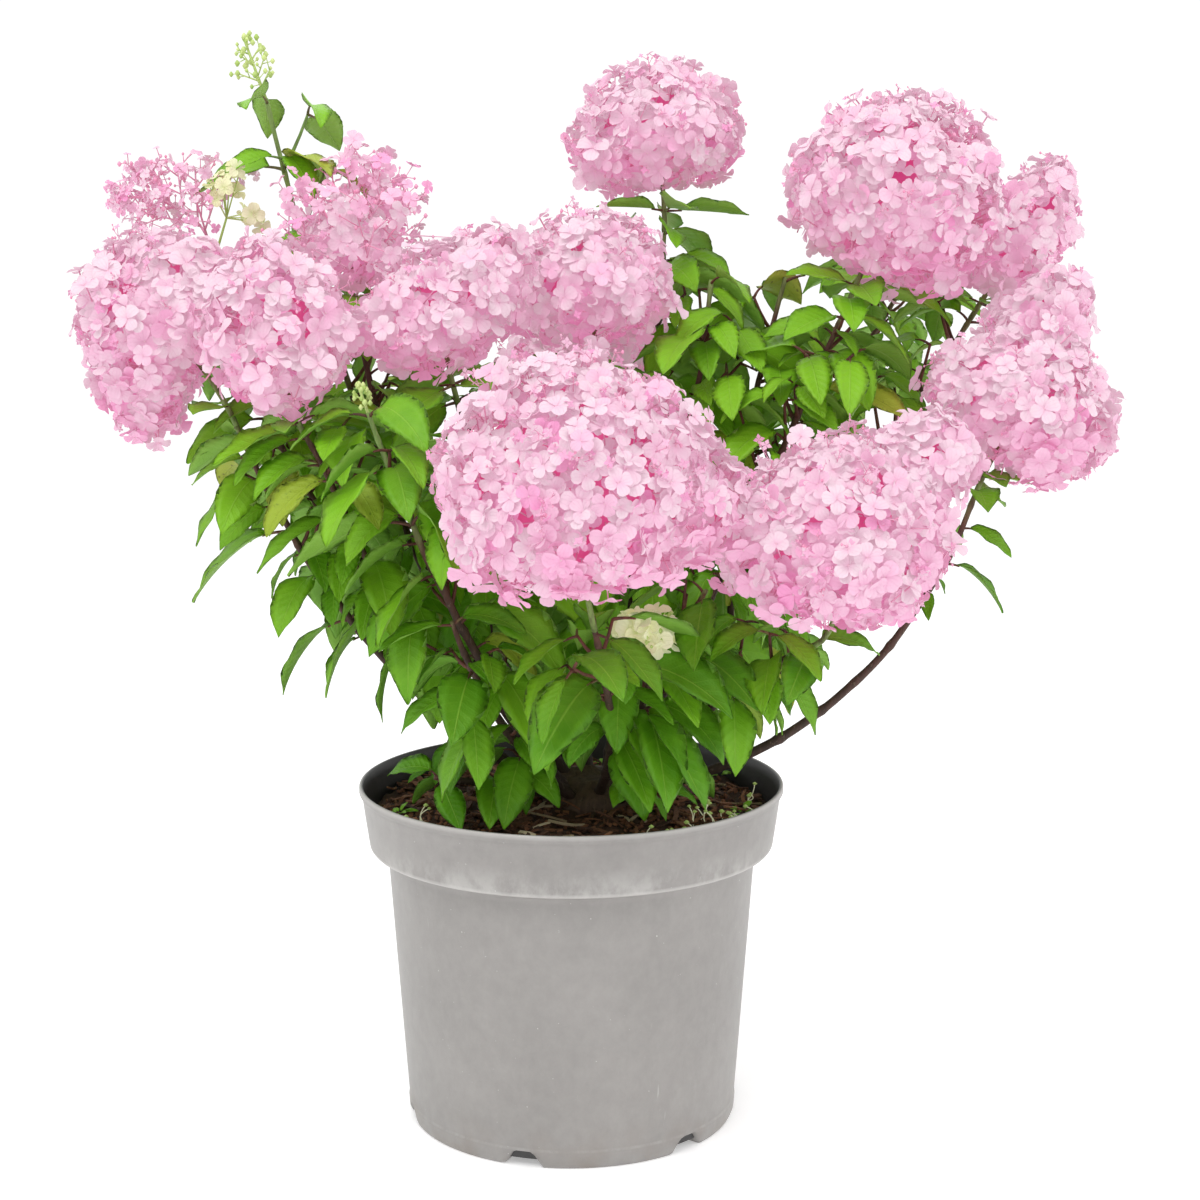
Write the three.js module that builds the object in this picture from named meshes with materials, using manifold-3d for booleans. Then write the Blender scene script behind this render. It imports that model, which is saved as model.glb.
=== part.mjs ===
// A panicle hydrangea in flower, growing in its nursery pot.
// Millimetres, +Z up. The origin is the centre of the pot's flat underside, and -Y is the front.
import * as THREE from 'three';
import { mergeVertices } from 'three/addons/utils/BufferGeometryUtils.js';
import Module from 'manifold-3d';

const wasm = await Module();
wasm.setup();

// ---------------------------------------------------------------- driving dimensions
const POT_HEIGHT = 210;
const POT_RIM_RADIUS = 130;
const POT_BASE_RADIUS = 101;
const POT_WALL = 2.4;
const COLLAR_HEIGHT = 39;
const COLLAR_STEP = 11;         // how far the collar stands out from the body below it
const COLLAR_TAPER = 6;         // the collar's foot is this much narrower than the rim
const FLOOR_THICKNESS = 4;
const POT_SIDES = 30;
const NOTCH_COUNT = 6;          // drain notches round the foot
const NOTCH_TURN = -16;         // degrees from the front to the first notch
const NOTCH_WIDTH = 24;
const NOTCH_SLANT = 7;          // how much narrower it is at each side of its top
const NOTCH_HEIGHT = 10;
const NOTCH_DEPTH = 13;

const COMPOST_LEVEL = 192;      // at the pot's wall
const COMPOST_CROWN = 4;        // rise towards the middle
const GAP = 0.4;                // clearance between neighbouring pieces

const STOOL = { x: 14, y: -4, radius: 31, height: 21 };

const STEM_FOOT_RADIUS = 3.4;
const STEM_TIP_RADIUS = 1.7;

const NODE_SPACING = 31;        // between two pairs of leaves
const PETIOLE = 12;
const LEAF_KEEL = 1.6;          // depth of the midrib below the blade
const LEAF_WIDTH_SHARE = 0.54;  // of the blade's length
const LEAF_CLEAR = 6;           // between sample points of two leaves
const LIMB_CLEAR = 5.5;         // between a leaf and another shoot's limb
const TURNS_TRIED = [0, 24, -24, 48, -48, 70, -70];   // degrees that a blocked leaf is turned by

const EGG_TAPER = 0.18;         // how much narrower a flower head is above its middle
const FLORET_REACH = 18;        // from a floret's centre to a petal's tip
const FLORET_STAND = 5;         // height of a floret above the head's core
const FLORET_ROOT = 7;          // depth of its stalk in the core
const FLORET_SPACE = 2850;      // square millimetres of head for each floret
const LOOSE_REACH = 12;         // from centre to edge of a floret in an open panicle
const BUD_REACH = 3.2;

// ---------------------------------------------------------------- the shoots
// Each shoot rises from the stool, or forks from another shoot's bough, through `via` to `tip`.
// foot: [azimuth in degrees, distance from the stool's middle]; fork: [parent, share of its curve].
// bare: share of the curve that is a leafless bough; leaf: blade length at the shoot's middle.
// eggs: the flower head's lobes, [x, y, z, radius across, half height]; loose: an open, see-through panicle.
const SHOOTS = [
  { name: 'far_left', foot: [186, 22], via: [-122, -15, 300], tip: [-203, -14, 442],
    bare: 0.48, leaf: 72, seed: 107, eggs: [[-245, -10, 499, 54, 46], [-253, -12, 446, 27, 25]] },
  { name: 'left', fork: ['far_left', 0.34], via: [-122, -48, 362], tip: [-156, -60, 436],
    leaf: 72, seed: 133, eggs: [[-165, -64, 491, 41, 50]] },
  { name: 'tall_left', foot: [160, 20], via: [-106, 30, 370], tip: [-184, 42, 622],
    bare: 0.4, leaf: 55, seed: 176, bud: { reach: 38, spread: 15, lean: [-0.35, 0, 1] } },
  { name: 'left_tip', fork: ['tall_left', 0.26], via: [-166, 20, 395], tip: [-221, 32, 548],
    leaf: 57, seed: 188, loose: { reach: 66, spread: 38, lean: [-1, 0, 0.62], florets: 12 } },
  { name: 'upper_left', foot: [196, 9], via: [-84, -4, 350], tip: [-130, 6, 504],
    bare: 0.26, leaf: 64, seed: 122,
    eggs: [[-130, 1, 537, 30, 28]],
    loose: { reach: 82, spread: 66, lean: [0.05, 0, 1], florets: 14 } },
  { name: 'front_left', foot: [226, 20], via: [-62, -70, 318], tip: [-112, -92, 444],
    bare: 0.3, leaf: 78, seed: 120, bud: { reach: 16, spread: 7 } },
  { name: 'centre_left', fork: ['upper_left', 0.28], via: [-52, -22, 372], tip: [-68, -42, 456],
    leaf: 78, seed: 133, eggs: [[-76, -44, 499, 43, 37], [-46, -38, 520, 26, 30]] },
  { name: 'centre', foot: [120, 8], via: [6, 10, 345], tip: [14, 6, 462],
    bare: 0.3, leaf: 74, seed: 105, eggs: [[14, 6, 515, 49, 43]] },
  { name: 'top_centre', foot: [72, 20], via: [44, 44, 372], tip: [58, 68, 556],
    bare: 0.3, leaf: 74, seed: 141, eggs: [[52, 70, 605, 53, 40]] },
  { name: 'front', foot: [276, 18], via: [24, -84, 262], tip: [12, -146, 340],
    bare: 0.26, leaf: 76, seed: 125, eggs: [[4, -172, 419, 71, 64], [67, -154, 400, 28, 32]] },
  { name: 'centre_right', fork: ['top_centre', 0.24], via: [66, 16, 392], tip: [85, 28, 514],
    leaf: 72, seed: 239 },
  { name: 'cream', fork: ['front', 0.30], via: [42, -72, 272], tip: [49, -104, 316],
    leaf: 74, seed: 240, loose: { reach: 30, spread: 22, lean: [-0.2, -0.5, 0.7], florets: 6 } },
  { name: 'right_front', foot: [322, 20], via: [90, -62, 274], tip: [145, -110, 318],
    bare: 0.4, leaf: 48, seed: 125, eggs: [[151, -120, 382, 61, 56], [203, -108, 422, 26, 24]] },
  { name: 'top_right', foot: [2, 9], via: [102, -6, 362], tip: [169, -4, 512],
    bare: 0.26, leaf: 70, seed: 139, eggs: [[195, 0, 569, 63, 56]] },
  { name: 'right_back', foot: [22, 21], via: [148, 26, 350], tip: [251, 42, 500],
    bare: 0.38, leaf: 55, seed: 107, eggs: [[280, 54, 546, 31, 50]] },
  { name: 'far_right', foot: [350, 24], via: [165, -34, 274], tip: [243, -32, 404],
    bare: 0.72, leaf: 47, seed: 285, eggs: [[267, -30, 446, 57, 46], [281, -18, 499, 28, 28]] },
  { name: 'inner_right', fork: ['right_back', 0.28], via: [106, 50, 392], tip: [134, 78, 514],
    leaf: 72, seed: 132 },
  { name: 'back_left', foot: [132, 20], via: [-88, 96, 340], tip: [-184, 140, 442],
    bare: 0.26, leaf: 68, seed: 136, eggs: [[-198, 148, 484, 45, 42]] },
  { name: 'back', foot: [98, 21], via: [2, 84, 330], tip: [8, 128, 418],
    bare: 0.26, leaf: 78, seed: 158, eggs: [[9, 136, 463, 50, 43]] },
  { name: 'back_right', foot: [47, 21], via: [130, 92, 370], tip: [222, 142, 516],
    bare: 0.34, leaf: 70, seed: 182, eggs: [[236, 150, 560, 46, 42]] },
  { name: 'back_right_low', fork: ['back_right', 0.26], via: [120, 94, 284], tip: [178, 128, 318],
    leaf: 48, seed: 218, eggs: [[190, 140, 358, 46, 40]] },
  { name: 'low_left', foot: [210, 27], via: [-42, -40, 216], tip: [-80, -58, 226],
    leaf: 46, seed: 187 },
  { name: 'low_right', foot: [300, 25], via: [42, -46, 216], tip: [54, -62, 232],
    leaf: 62, seed: 245 },
  { name: 'inner_left', foot: [240, 24], via: [-40, -62, 260], tip: [-66, -96, 326],
    leaf: 55, seed: 178 },
  { name: 'inner_front', foot: [296, 12], via: [44, -44, 270], tip: [78, -84, 342],
    leaf: 76, seed: 140 },
];

// ---------------------------------------------------------------- small helpers
const vec = (x, y, z) => new THREE.Vector3(x, y, z);
const radians = THREE.MathUtils.degToRad;
const UP = vec(0, 0, 1);

// A repeatable random source: the same seed always gives the same numbers from 0 to 1.
function seeded(seed) {
  let state = seed * 7919;
  return () => {
    state = (state + 0x6d2b79f5) | 0;
    let t = Math.imul(state ^ (state >>> 15), 1 | state);
    t = (t + Math.imul(t ^ (t >>> 7), 61 | t)) ^ t;
    return ((t ^ (t >>> 14)) >>> 0) / 4294967296;
  };
}

function toSolid(geometry) {
  const bare = new THREE.BufferGeometry();
  bare.setAttribute('position', geometry.getAttribute('position'));
  if (geometry.index) bare.setIndex(geometry.index);
  const merged = mergeVertices(bare, 1e-4);
  return new wasm.Manifold(new wasm.Mesh({
    numProp: 3,
    vertProperties: Float32Array.from(merged.attributes.position.array),
    triVerts: Uint32Array.from(merged.index.array),
  }));
}

function toGeometry(solid) {
  const mesh = solid.getMesh();
  const stride = mesh.numProp;
  const places = new Float32Array(mesh.numVert * 3);
  for (let i = 0; i < mesh.numVert; i++) {
    places.set(mesh.vertProperties.subarray(i * stride, i * stride + 3), i * 3);
  }
  const geometry = new THREE.BufferGeometry();
  geometry.setAttribute('position', new THREE.BufferAttribute(places, 3));
  geometry.setIndex(new THREE.BufferAttribute(mesh.triVerts, 1));
  geometry.computeVertexNormals();
  return geometry;
}

// The largest connected body of a solid; loose scraps are dropped.
function largestBody(solid) {
  return solid.decompose().reduce((best, body) => (body.volume() > best.volume() ? body : best));
}

// Moves every vertex of a geometry to place(vertex).
function reshape(geometry, place) {
  const positions = geometry.getAttribute('position');
  for (let i = 0; i < positions.count; i++) {
    const p = place(vec(positions.getX(i), positions.getY(i), positions.getZ(i)));
    positions.setXYZ(i, p.x, p.y, p.z);
  }
  return geometry;
}

// Two unit vectors square to an axis and to each other, right-handed with it.
function squareTo(axis) {
  const a = vec(0, 0, 0).crossVectors(Math.abs(axis.z) < 0.95 ? UP : vec(1, 0, 0), axis).normalize();
  const b = vec(0, 0, 0).crossVectors(axis, a).normalize();
  return [a, b];
}

// ---------------------------------------------------------------- limbs
// A shoot's curve is the quadratic Bezier through its foot, via (half way) and tip.
function curveOf(foot, via, tip) {
  const control = via.clone().multiplyScalar(2).addScaledVector(foot, -0.5).addScaledVector(tip, -0.5);
  return new THREE.QuadraticBezierCurve3(foot, control, tip);
}

// The share of a curve that lies `distance` millimetres beyond another share.
function shareBeyond(curve, share, distance) {
  const step = distance < 0 ? -0.001 : 0.001;
  return share + step * Math.abs(distance) / curve.getPoint(share).distanceTo(curve.getPoint(share + step));
}

// A tapering limb along part of a curve: a cylinder's rings are carried to the curve's points.
function limb(curve, from, to, radiusAt, sides, steps, extra = 0) {
  const [a0] = squareTo(curve.getTangent(from));
  return toSolid(reshape(new THREE.CylinderGeometry(1, 1, 1, sides, steps), (v) => {
    const share = from + (to - from) * (v.y + 0.5);
    const tangent = curve.getTangent(share);
    const a = a0.clone().addScaledVector(tangent, -a0.dot(tangent)).normalize();
    const b = vec(0, 0, 0).crossVectors(tangent, a);
    const radius = radiusAt(share) + extra;
    return curve.getPoint(share).addScaledVector(a, v.z * radius).addScaledVector(b, v.x * radius);
  }));
}

// A straight tapering twig between two points.
function twig(start, end, startRadius, endRadius, sides = 3) {
  const axis = end.clone().sub(start);
  const [a, b] = squareTo(axis.clone().normalize());
  return toSolid(reshape(new THREE.CylinderGeometry(1, 1, 1, sides, 1), (v) => {
    const share = v.y + 0.5;
    const radius = startRadius + (endRadius - startRadius) * share;
    return start.clone().addScaledVector(axis, share)
      .addScaledVector(a, v.z * radius).addScaledVector(b, v.x * radius);
  }));
}

const stemRadius = (share) => STEM_FOOT_RADIUS + (STEM_TIP_RADIUS - STEM_FOOT_RADIUS) * share;
const forkRadius = (share) => 2.4 + (STEM_TIP_RADIUS - 2.4) * share;

// ---------------------------------------------------------------- leaves
// A leaf lies in an upright plane along two arcs: it sets out at angle `rise` above level, bends most
// of the way down in its stalk and shoulder, and then hangs more straightly to its tip.
const SHOULDER = 0.2;           // share of the blade that lies in the first arc
const FIRST_BEND = 0.6;         // share of the whole bend that the first arc takes
function arcStep(from, bend, along) {
  const angle = from - bend * along;
  const out = (Math.sin(from) - Math.sin(angle)) / bend;
  const up = (Math.cos(angle) - Math.cos(from)) / bend;
  return { angle, out, up };
}
function leafPoint(leaf, along, across = 0, above = 0) {
  const first = leaf.petiole + SHOULDER * leaf.blade;
  const second = leaf.blade * (1 - SHOULDER);
  let step = arcStep(leaf.rise, FIRST_BEND * leaf.droop / first, Math.min(along, first));
  if (along > first) {
    const next = arcStep(step.angle, (1 - FIRST_BEND) * leaf.droop / second, along - first);
    step = { angle: next.angle, out: step.out + next.out, up: step.up + next.up };
  }
  const { angle, out, up } = step;
  const cos = Math.cos(leaf.heading);
  const sin = Math.sin(leaf.heading);
  const side = vec(-sin, cos, 0);
  const face = vec(-Math.sin(angle) * cos, -Math.sin(angle) * sin, Math.cos(angle));
  const rolledSide = side.clone().multiplyScalar(Math.cos(leaf.roll))
    .addScaledVector(face, Math.sin(leaf.roll));
  const rolledFace = face.multiplyScalar(Math.cos(leaf.roll)).addScaledVector(side, -Math.sin(leaf.roll));
  return leaf.root.clone().add(vec(out * cos, out * sin, up))
    .addScaledVector(rolledSide, across).addScaledVector(rolledFace, above);
}

// Points spread over the blade, by which leaves keep clear of each other.
const STALK = 12;               // bare stalk between the last leaves and the flower head
const SAMPLE_ALONG = [0.08, 0.28, 0.48, 0.7, 0.97];
const SAMPLE_WIDTH = [0.2, 0.42, 0.44, 0.3, 0.05];
function leafSamples(leaf) {
  return SAMPLE_ALONG.flatMap((share, i) => [-1, 0, 1].map((side) =>
    leafPoint(leaf, leaf.petiole + share * leaf.blade, side * SAMPLE_WIDTH[i] * leaf.width)));
}

// The leaf's solid: a three-sided spindle, with its ring drawn out to the two edges and the keel.
const WIDEST = 0.42;            // share of the blade where it is widest
const FOLD = 0.16;              // how far the edges stand above the midrib, as a share of the half width
function leafSolid(leaf, root) {
  const middle = leaf.petiole + WIDEST * leaf.blade;
  const half = leaf.width * 0.56;
  return toSolid(reshape(new THREE.ConeGeometry(1, 1, 3), (v) => {
    if (v.y > 0.1) return leafPoint(leaf, leaf.petiole + leaf.blade);
    if (v.z > 0.5) return leafPoint(leaf, middle, 0, -LEAF_KEEL);
    if (Math.abs(v.x) > 0.5) return leafPoint(leaf, middle, Math.sign(v.x) * half, FOLD * half);
    return root.clone().lerp(leafPoint(leaf, 1), 0.2);
  }));
}

// ---------------------------------------------------------------- the rule of growth
// The space already taken: sample points of leaves and limbs, and the flower heads.
const takenLeaves = [];
const takenLimbs = [];
const heads = [];

// A head's lobe, with its axis, and how far a point lies from its middle: 1 is on its surface.
function eggOf([x, y, z, across, high], from) {
  const centre = vec(x, y, z);
  const axis = centre.clone().sub(from).normalize();
  return { centre, axis, across, high };
}
function depthIn(egg, point, margin) {
  const offset = point.clone().sub(egg.centre);
  const along = offset.dot(egg.axis);
  const level = THREE.MathUtils.clamp(along / egg.high, -1, 1);
  const out = offset.addScaledVector(egg.axis, -along).length();
  return Math.hypot(along / (egg.high + margin), out / ((egg.across + margin) * (1 - EGG_TAPER * level)));
}

function blocked(leaf, shoot) {
  const samples = leafSamples(leaf);
  for (const p of samples) {
    const fromAxis = Math.hypot(p.x, p.y);
    if (p.z < COMPOST_LEVEL + COMPOST_CROWN + 5) return true;
    if (p.z < POT_HEIGHT + 5 && fromAxis > POT_RIM_RADIUS - 20) return true;
    for (const q of takenLeaves) if (p.distanceTo(q) < LEAF_CLEAR) return true;
    for (const t of takenLimbs) {
      const room = t.owner === shoot.name ? 3 : LIMB_CLEAR;
      if (p.distanceTo(t.point) < room + t.radius) return true;
    }
    for (const head of heads) {
      for (const egg of head.eggs) if (depthIn(egg, p, 4) < 1) return true;
    }
  }
  return false;
}

// Tries a leaf at its own heading, then turned a little each way, and keeps the first that is free.
function growLeaf(root, heading, rise, blade, droop, roll, shoot) {
  for (const turn of TURNS_TRIED) {
    const petiole = PETIOLE * blade / 70;
    const leaf = {
      root, heading: heading + radians(turn), rise, petiole, blade, roll, droop,
      width: blade * LEAF_WIDTH_SHARE,
    };
    if (blocked(leaf, shoot)) continue;
    takenLeaves.push(...leafSamples(leaf));
    shoot.leaves.push(leaf);
    return;
  }
}

// A pair of leaves face each other across the stem. `hang` is how far below level their tips point.
function growPair(shoot, root, tangent, quarter, blade, hang, lift, random) {
  const [a, b] = squareTo(tangent);
  for (const side of [0, Math.PI]) {
    const azimuth = quarter + side + (random() - 0.5) * 0.5;
    const size = blade * (0.84 + 0.3 * random());
    const tipAngle = radians(hang + 30 * (random() - 0.5));
    const roll = (random() - 0.5) * 1.3;
    const out = a.clone().multiplyScalar(Math.cos(azimuth)).addScaledVector(b, Math.sin(azimuth));
    const start = out.multiplyScalar(Math.cos(lift)).addScaledVector(tangent, Math.sin(lift));
    const rise = Math.asin(THREE.MathUtils.clamp(start.z, -0.4, 0.85));
    growLeaf(root.clone(), Math.atan2(start.y, start.x), rise, size, rise + tipAngle, roll, shoot);
  }
}

// Pairs of leaves along the leafy part, each a quarter turn from the last, with a short side twig
// that carries a pair of its own at some of the lower nodes. Young leaves near the tip hang less.
const LIFT = radians(32);
const TWIG_LIFT = radians(28);
const TWIG_CHANCE = 0.55;
const LOW_HANG = 86;
const TOP_HANG = 42;
function growFoliage(shoot) {
  const random = seeded(shoot.seed);
  const length = shoot.curve.getLength();
  const end = 1 - (shoot.eggs || shoot.loose ? STALK + 2 : 2) / length;
  const count = Math.max(2, Math.round(length * (end - shoot.leafy) / NODE_SPACING));
  const first = random() * Math.PI;
  for (let i = 0; i < count; i++) {
    const part = (i + 0.75) / (count - 0.25);
    const share = shoot.leafy + (end - shoot.leafy) * part;
    const size = shoot.leaf * (i === count - 1 ? 0.8 : 1);
    const hang = LOW_HANG + (TOP_HANG - LOW_HANG) * part;
    const point = shoot.curve.getPoint(share);
    const tangent = shoot.curve.getTangent(share);
    const quarter = first + i * Math.PI / 2;
    growPair(shoot, point, tangent, quarter, size, hang, LIFT, random);
    const sprouts = random() < TWIG_CHANCE;
    const angle = quarter + Math.PI / 4 + random();
    const reach = 30 + 20 * random();
    if (!sprouts || i > count - 2) continue;
    const [a, b] = squareTo(tangent);
    const out = a.multiplyScalar(Math.cos(angle)).addScaledVector(b, Math.sin(angle));
    const aim = out.addScaledVector(tangent, 0.9).addScaledVector(UP, 0.3).normalize();
    const tip = point.clone().addScaledVector(aim, reach);
    if (heads.some((head) => head.eggs.some((egg) => depthIn(egg, tip, 8) < 1))) continue;
    if (takenLimbs.some((t) => t.owner !== shoot.name && t.point.distanceTo(tip) < 10)) continue;
    shoot.twigs.push({ start: point, end: tip });
    takenLimbs.push({ owner: shoot.name, point: tip, radius: 1 });
    growPair(shoot, tip, aim, angle, shoot.leaf * 0.75, hang, TWIG_LIFT, random);
  }
}

// ---------------------------------------------------------------- flower heads
const GOLDEN = Math.PI * (3 - Math.sqrt(5));

// A point of a lobe's surface, at height `level` from -1 to 1 and turned by `angle`, with its normal.
function eggPoint(egg, level, angle, margin = 0) {
  const [a, b] = squareTo(egg.axis);
  const ring = Math.sqrt(1 - level * level);
  const out = a.multiplyScalar(Math.cos(angle)).addScaledVector(b, Math.sin(angle));
  const normal = egg.axis.clone().multiplyScalar(level / egg.high)
    .addScaledVector(out, ring / egg.across).normalize();
  const point = egg.centre.clone().addScaledVector(egg.axis, level * (egg.high + margin))
    .addScaledVector(out, ring * (egg.across + margin) * (1 - EGG_TAPER * level));
  return { point, normal };
}

function coreSolid(egg) {
  const inset = -(FLORET_STAND + 2) * Math.min(1, egg.across / 40);
  const ball = egg.across > 40 ? new THREE.IcosahedronGeometry(1, 1) : new THREE.OctahedronGeometry(1, 1);
  return toSolid(reshape(ball, (v) => {
    const level = THREE.MathUtils.clamp(v.z / v.length(), -1, 1);
    return eggPoint(egg, level, Math.atan2(v.y, v.x), inset).point;
  }));
}

// A four-petalled floret: a square pyramid on its point, with its corners as petals and its point
// as the root of a short stalk.
function floretSolid(centre, normal, spin, reach, root) {
  const [a, b] = squareTo(normal);
  return toSolid(reshape(new THREE.ConeGeometry(1, 1, 4), (v) => {
    if (v.y > 0.1) return centre.clone().addScaledVector(normal, -root);
    const out = Math.hypot(v.x, v.z) * reach;
    const angle = Math.atan2(v.x, v.z) - spin;
    return centre.clone().addScaledVector(normal, out > 1 ? 1 : 2)
      .addScaledVector(a, Math.cos(angle) * out).addScaledVector(b, -Math.sin(angle) * out);
  }));
}

function eggArea(egg) {
  return 4 * Math.PI * egg.across * (egg.across + 2 * egg.high) / 3;
}

function growHead(shoot, head) {
  const random = seeded(shoot.seed + 500);
  const parts = [];
  for (const egg of head.eggs) {
    parts.push(coreSolid(egg));
    const count = Math.round(eggArea(egg) / FLORET_SPACE);
    for (let i = 0; i < count; i++) {
      const level = 1 - (2 * i + 1) / count;
      const { point, normal } = eggPoint(egg, level, i * GOLDEN + random() * 0.4);
      const spin = random() * Math.PI;
      const reach = FLORET_REACH * (0.88 + 0.2 * random());
      const centre = point.addScaledVector(normal, -3);
      const inOwn = head.eggs.some((other) => other !== egg && depthIn(other, centre, -2) < 1);
      const inOther = heads.some((other) => other !== head
        && other.eggs.some((lobe) => depthIn(lobe, centre, 2) < 1));
      const onStalk = centre.distanceTo(shoot.tip) < 15;
      if (inOwn || inOther || onStalk) continue;
      parts.push(floretSolid(centre, normal, spin, reach, FLORET_STAND + FLORET_ROOT - 1));
    }
  }
  return parts;
}

// A small floret or bud on its stalk: a thin three-sided limb that flares at its end.
function stalkedSolid(start, aim, length, reach) {
  const [a, b] = squareTo(aim);
  return toSolid(reshape(new THREE.CylinderGeometry(1, 1, 1, 3, 2), (v) => {
    const ring = Math.round((v.y + 0.5) * 2);
    const along = [0, length * 0.86, length][ring];
    const radius = [1, 0.8, reach][ring];
    return start.clone().addScaledVector(aim, along)
      .addScaledVector(a, v.z * radius).addScaledVector(b, v.x * radius);
  }));
}

// An open panicle: branches spring in turn from the stalk that runs up through it.
function growLoose(shoot, loose) {
  const random = seeded(shoot.seed + 700);
  const parts = [];
  for (let i = 0; i < loose.florets; i++) {
    const share = 0.12 + 0.84 * i / (loose.florets - 1);
    const angle = i * GOLDEN + random() * 0.5;
    const spread = loose.spread * (1 - 0.62 * share * share) * (0.75 + 0.3 * random());
    const start = shoot.stalk.getPoint(share * 0.9);
    const axis = shoot.stalk.getTangent(share * 0.9);
    const [a, b] = squareTo(axis);
    const out = a.multiplyScalar(Math.cos(angle)).addScaledVector(b, Math.sin(angle));
    const aim = out.addScaledVector(axis, 0.45 + 0.75 * share).normalize();
    const tip = start.clone().addScaledVector(aim, spread);
    const reach = LOOSE_REACH * (0.8 + 0.4 * random());
    if (heads.some((head) => head.eggs.some((egg) => depthIn(egg, tip, 12) < 1))) continue;
    parts.push(stalkedSolid(start, aim, spread, reach));
  }
  return parts;
}

// A green tip that has not opened: a spindle with a few small buds on short stalks.
function growBud(shoot, bud) {
  const random = seeded(shoot.seed + 900);
  const axis = bud.lean ? vec(...bud.lean).normalize() : shoot.curve.getTangent(1);
  const [a, b] = squareTo(axis);
  const foot = shoot.tip.clone().addScaledVector(axis, -2);
  const point = shoot.tip.clone().addScaledVector(axis, bud.reach);
  const parts = [twig(foot, point, STEM_TIP_RADIUS * 0.9, 0.8)];
  const count = Math.max(3, Math.round(bud.reach / 6));
  for (let i = 0; i < count; i++) {
    const share = 0.25 + 0.75 * i / (count - 1);
    const angle = i * GOLDEN + random();
    const start = shoot.tip.clone().addScaledVector(axis, bud.reach * share * 0.9);
    const out = a.clone().multiplyScalar(Math.cos(angle)).addScaledVector(b, Math.sin(angle));
    const aim = out.addScaledVector(axis, 0.6).normalize();
    parts.push(stalkedSolid(start, aim, bud.spread * (1.15 - 0.5 * share), BUD_REACH));
  }
  return parts;
}

// ---------------------------------------------------------------- pot, compost and stool
const COLLAR_Z = POT_HEIGHT - COLLAR_HEIGHT;
const COLLAR_FOOT_RADIUS = POT_RIM_RADIUS - COLLAR_TAPER;
const BODY_TOP_RADIUS = COLLAR_FOOT_RADIUS - COLLAR_STEP;

// A lathe turns its profile about Y, so the solid is then stood up along Z.
function turned(profile, sides) {
  const points = profile.map(([r, z]) => new THREE.Vector2(r, z));
  return toSolid(new THREE.LatheGeometry(points, sides).rotateX(Math.PI / 2));
}

function potSolid() {
  const body = turned([
    [0, 0], [POT_BASE_RADIUS - 1.5, 0], [POT_BASE_RADIUS, 2.5],
    [BODY_TOP_RADIUS, COLLAR_Z - 2], [COLLAR_FOOT_RADIUS - 1.5, COLLAR_Z + 1],
    [COLLAR_FOOT_RADIUS, COLLAR_Z + 4], [POT_RIM_RADIUS - 1.5, POT_HEIGHT - 5],
    [POT_RIM_RADIUS, POT_HEIGHT - 3], [POT_RIM_RADIUS - 0.6, POT_HEIGHT],
    [POT_RIM_RADIUS - POT_WALL, POT_HEIGHT], [COLLAR_FOOT_RADIUS - POT_WALL, COLLAR_Z + 5],
    [BODY_TOP_RADIUS - POT_WALL, COLLAR_Z + 1], [POT_BASE_RADIUS - POT_WALL, FLOOR_THICKNESS],
    [0, FLOOR_THICKNESS],
  ], POT_SIDES);
  const notch = new THREE.Shape([
    new THREE.Vector2(-NOTCH_WIDTH / 2, -1), new THREE.Vector2(NOTCH_WIDTH / 2, -1),
    new THREE.Vector2(NOTCH_WIDTH / 2 - NOTCH_SLANT, NOTCH_HEIGHT),
    new THREE.Vector2(-NOTCH_WIDTH / 2 + NOTCH_SLANT, NOTCH_HEIGHT),
  ]);
  const cutter = new THREE.ExtrudeGeometry(notch, { depth: NOTCH_DEPTH + 5, bevelEnabled: false })
    .rotateX(Math.PI / 2).translate(0, -(POT_BASE_RADIUS - NOTCH_DEPTH), 0);
  const cuts = Array.from({ length: NOTCH_COUNT }, (_, i) =>
    toSolid(cutter.clone().rotateZ(radians(NOTCH_TURN) + i * 2 * Math.PI / NOTCH_COUNT)));
  return body.subtract(wasm.Manifold.union(cuts));
}

const COMPOST_GAP = 0.8;
const COMPOST_FOOT = NOTCH_HEIGHT + GAP;
function compostSolid() {
  const wallAt = (z) => COLLAR_FOOT_RADIUS - POT_WALL
    + COLLAR_TAPER * (z - COLLAR_Z - 5) / (POT_HEIGHT - COLLAR_Z - 5);
  return turned([
    [0, COMPOST_FOOT], [POT_BASE_RADIUS - POT_WALL - COMPOST_GAP, COMPOST_FOOT],
    [BODY_TOP_RADIUS - POT_WALL - COMPOST_GAP, COLLAR_Z + 2],
    [COLLAR_FOOT_RADIUS - POT_WALL - 2, COLLAR_Z + 6],
    [wallAt(COMPOST_LEVEL) - COMPOST_GAP, COMPOST_LEVEL],
    [70, COMPOST_LEVEL + COMPOST_CROWN], [0, COMPOST_LEVEL + COMPOST_CROWN],
  ], POT_SIDES);
}

const STOOL_FOOT = COMPOST_LEVEL + COMPOST_CROWN + GAP;
function stoolSolid(extra = 0) {
  const { radius, height } = STOOL;
  return turned([
    [0, -extra], [radius + extra, -extra], [radius * 0.92 + extra, height * 0.3],
    [radius * 0.74 + extra, height * 0.68], [radius * 0.4 + extra, height * 0.94 + extra],
    [0, height + extra],
  ], 12).translate(STOOL.x, STOOL.y, STOOL_FOOT);
}

// ---------------------------------------------------------------- growing the plant
const byName = new Map(SHOOTS.map((shoot) => [shoot.name, shoot]));

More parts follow.
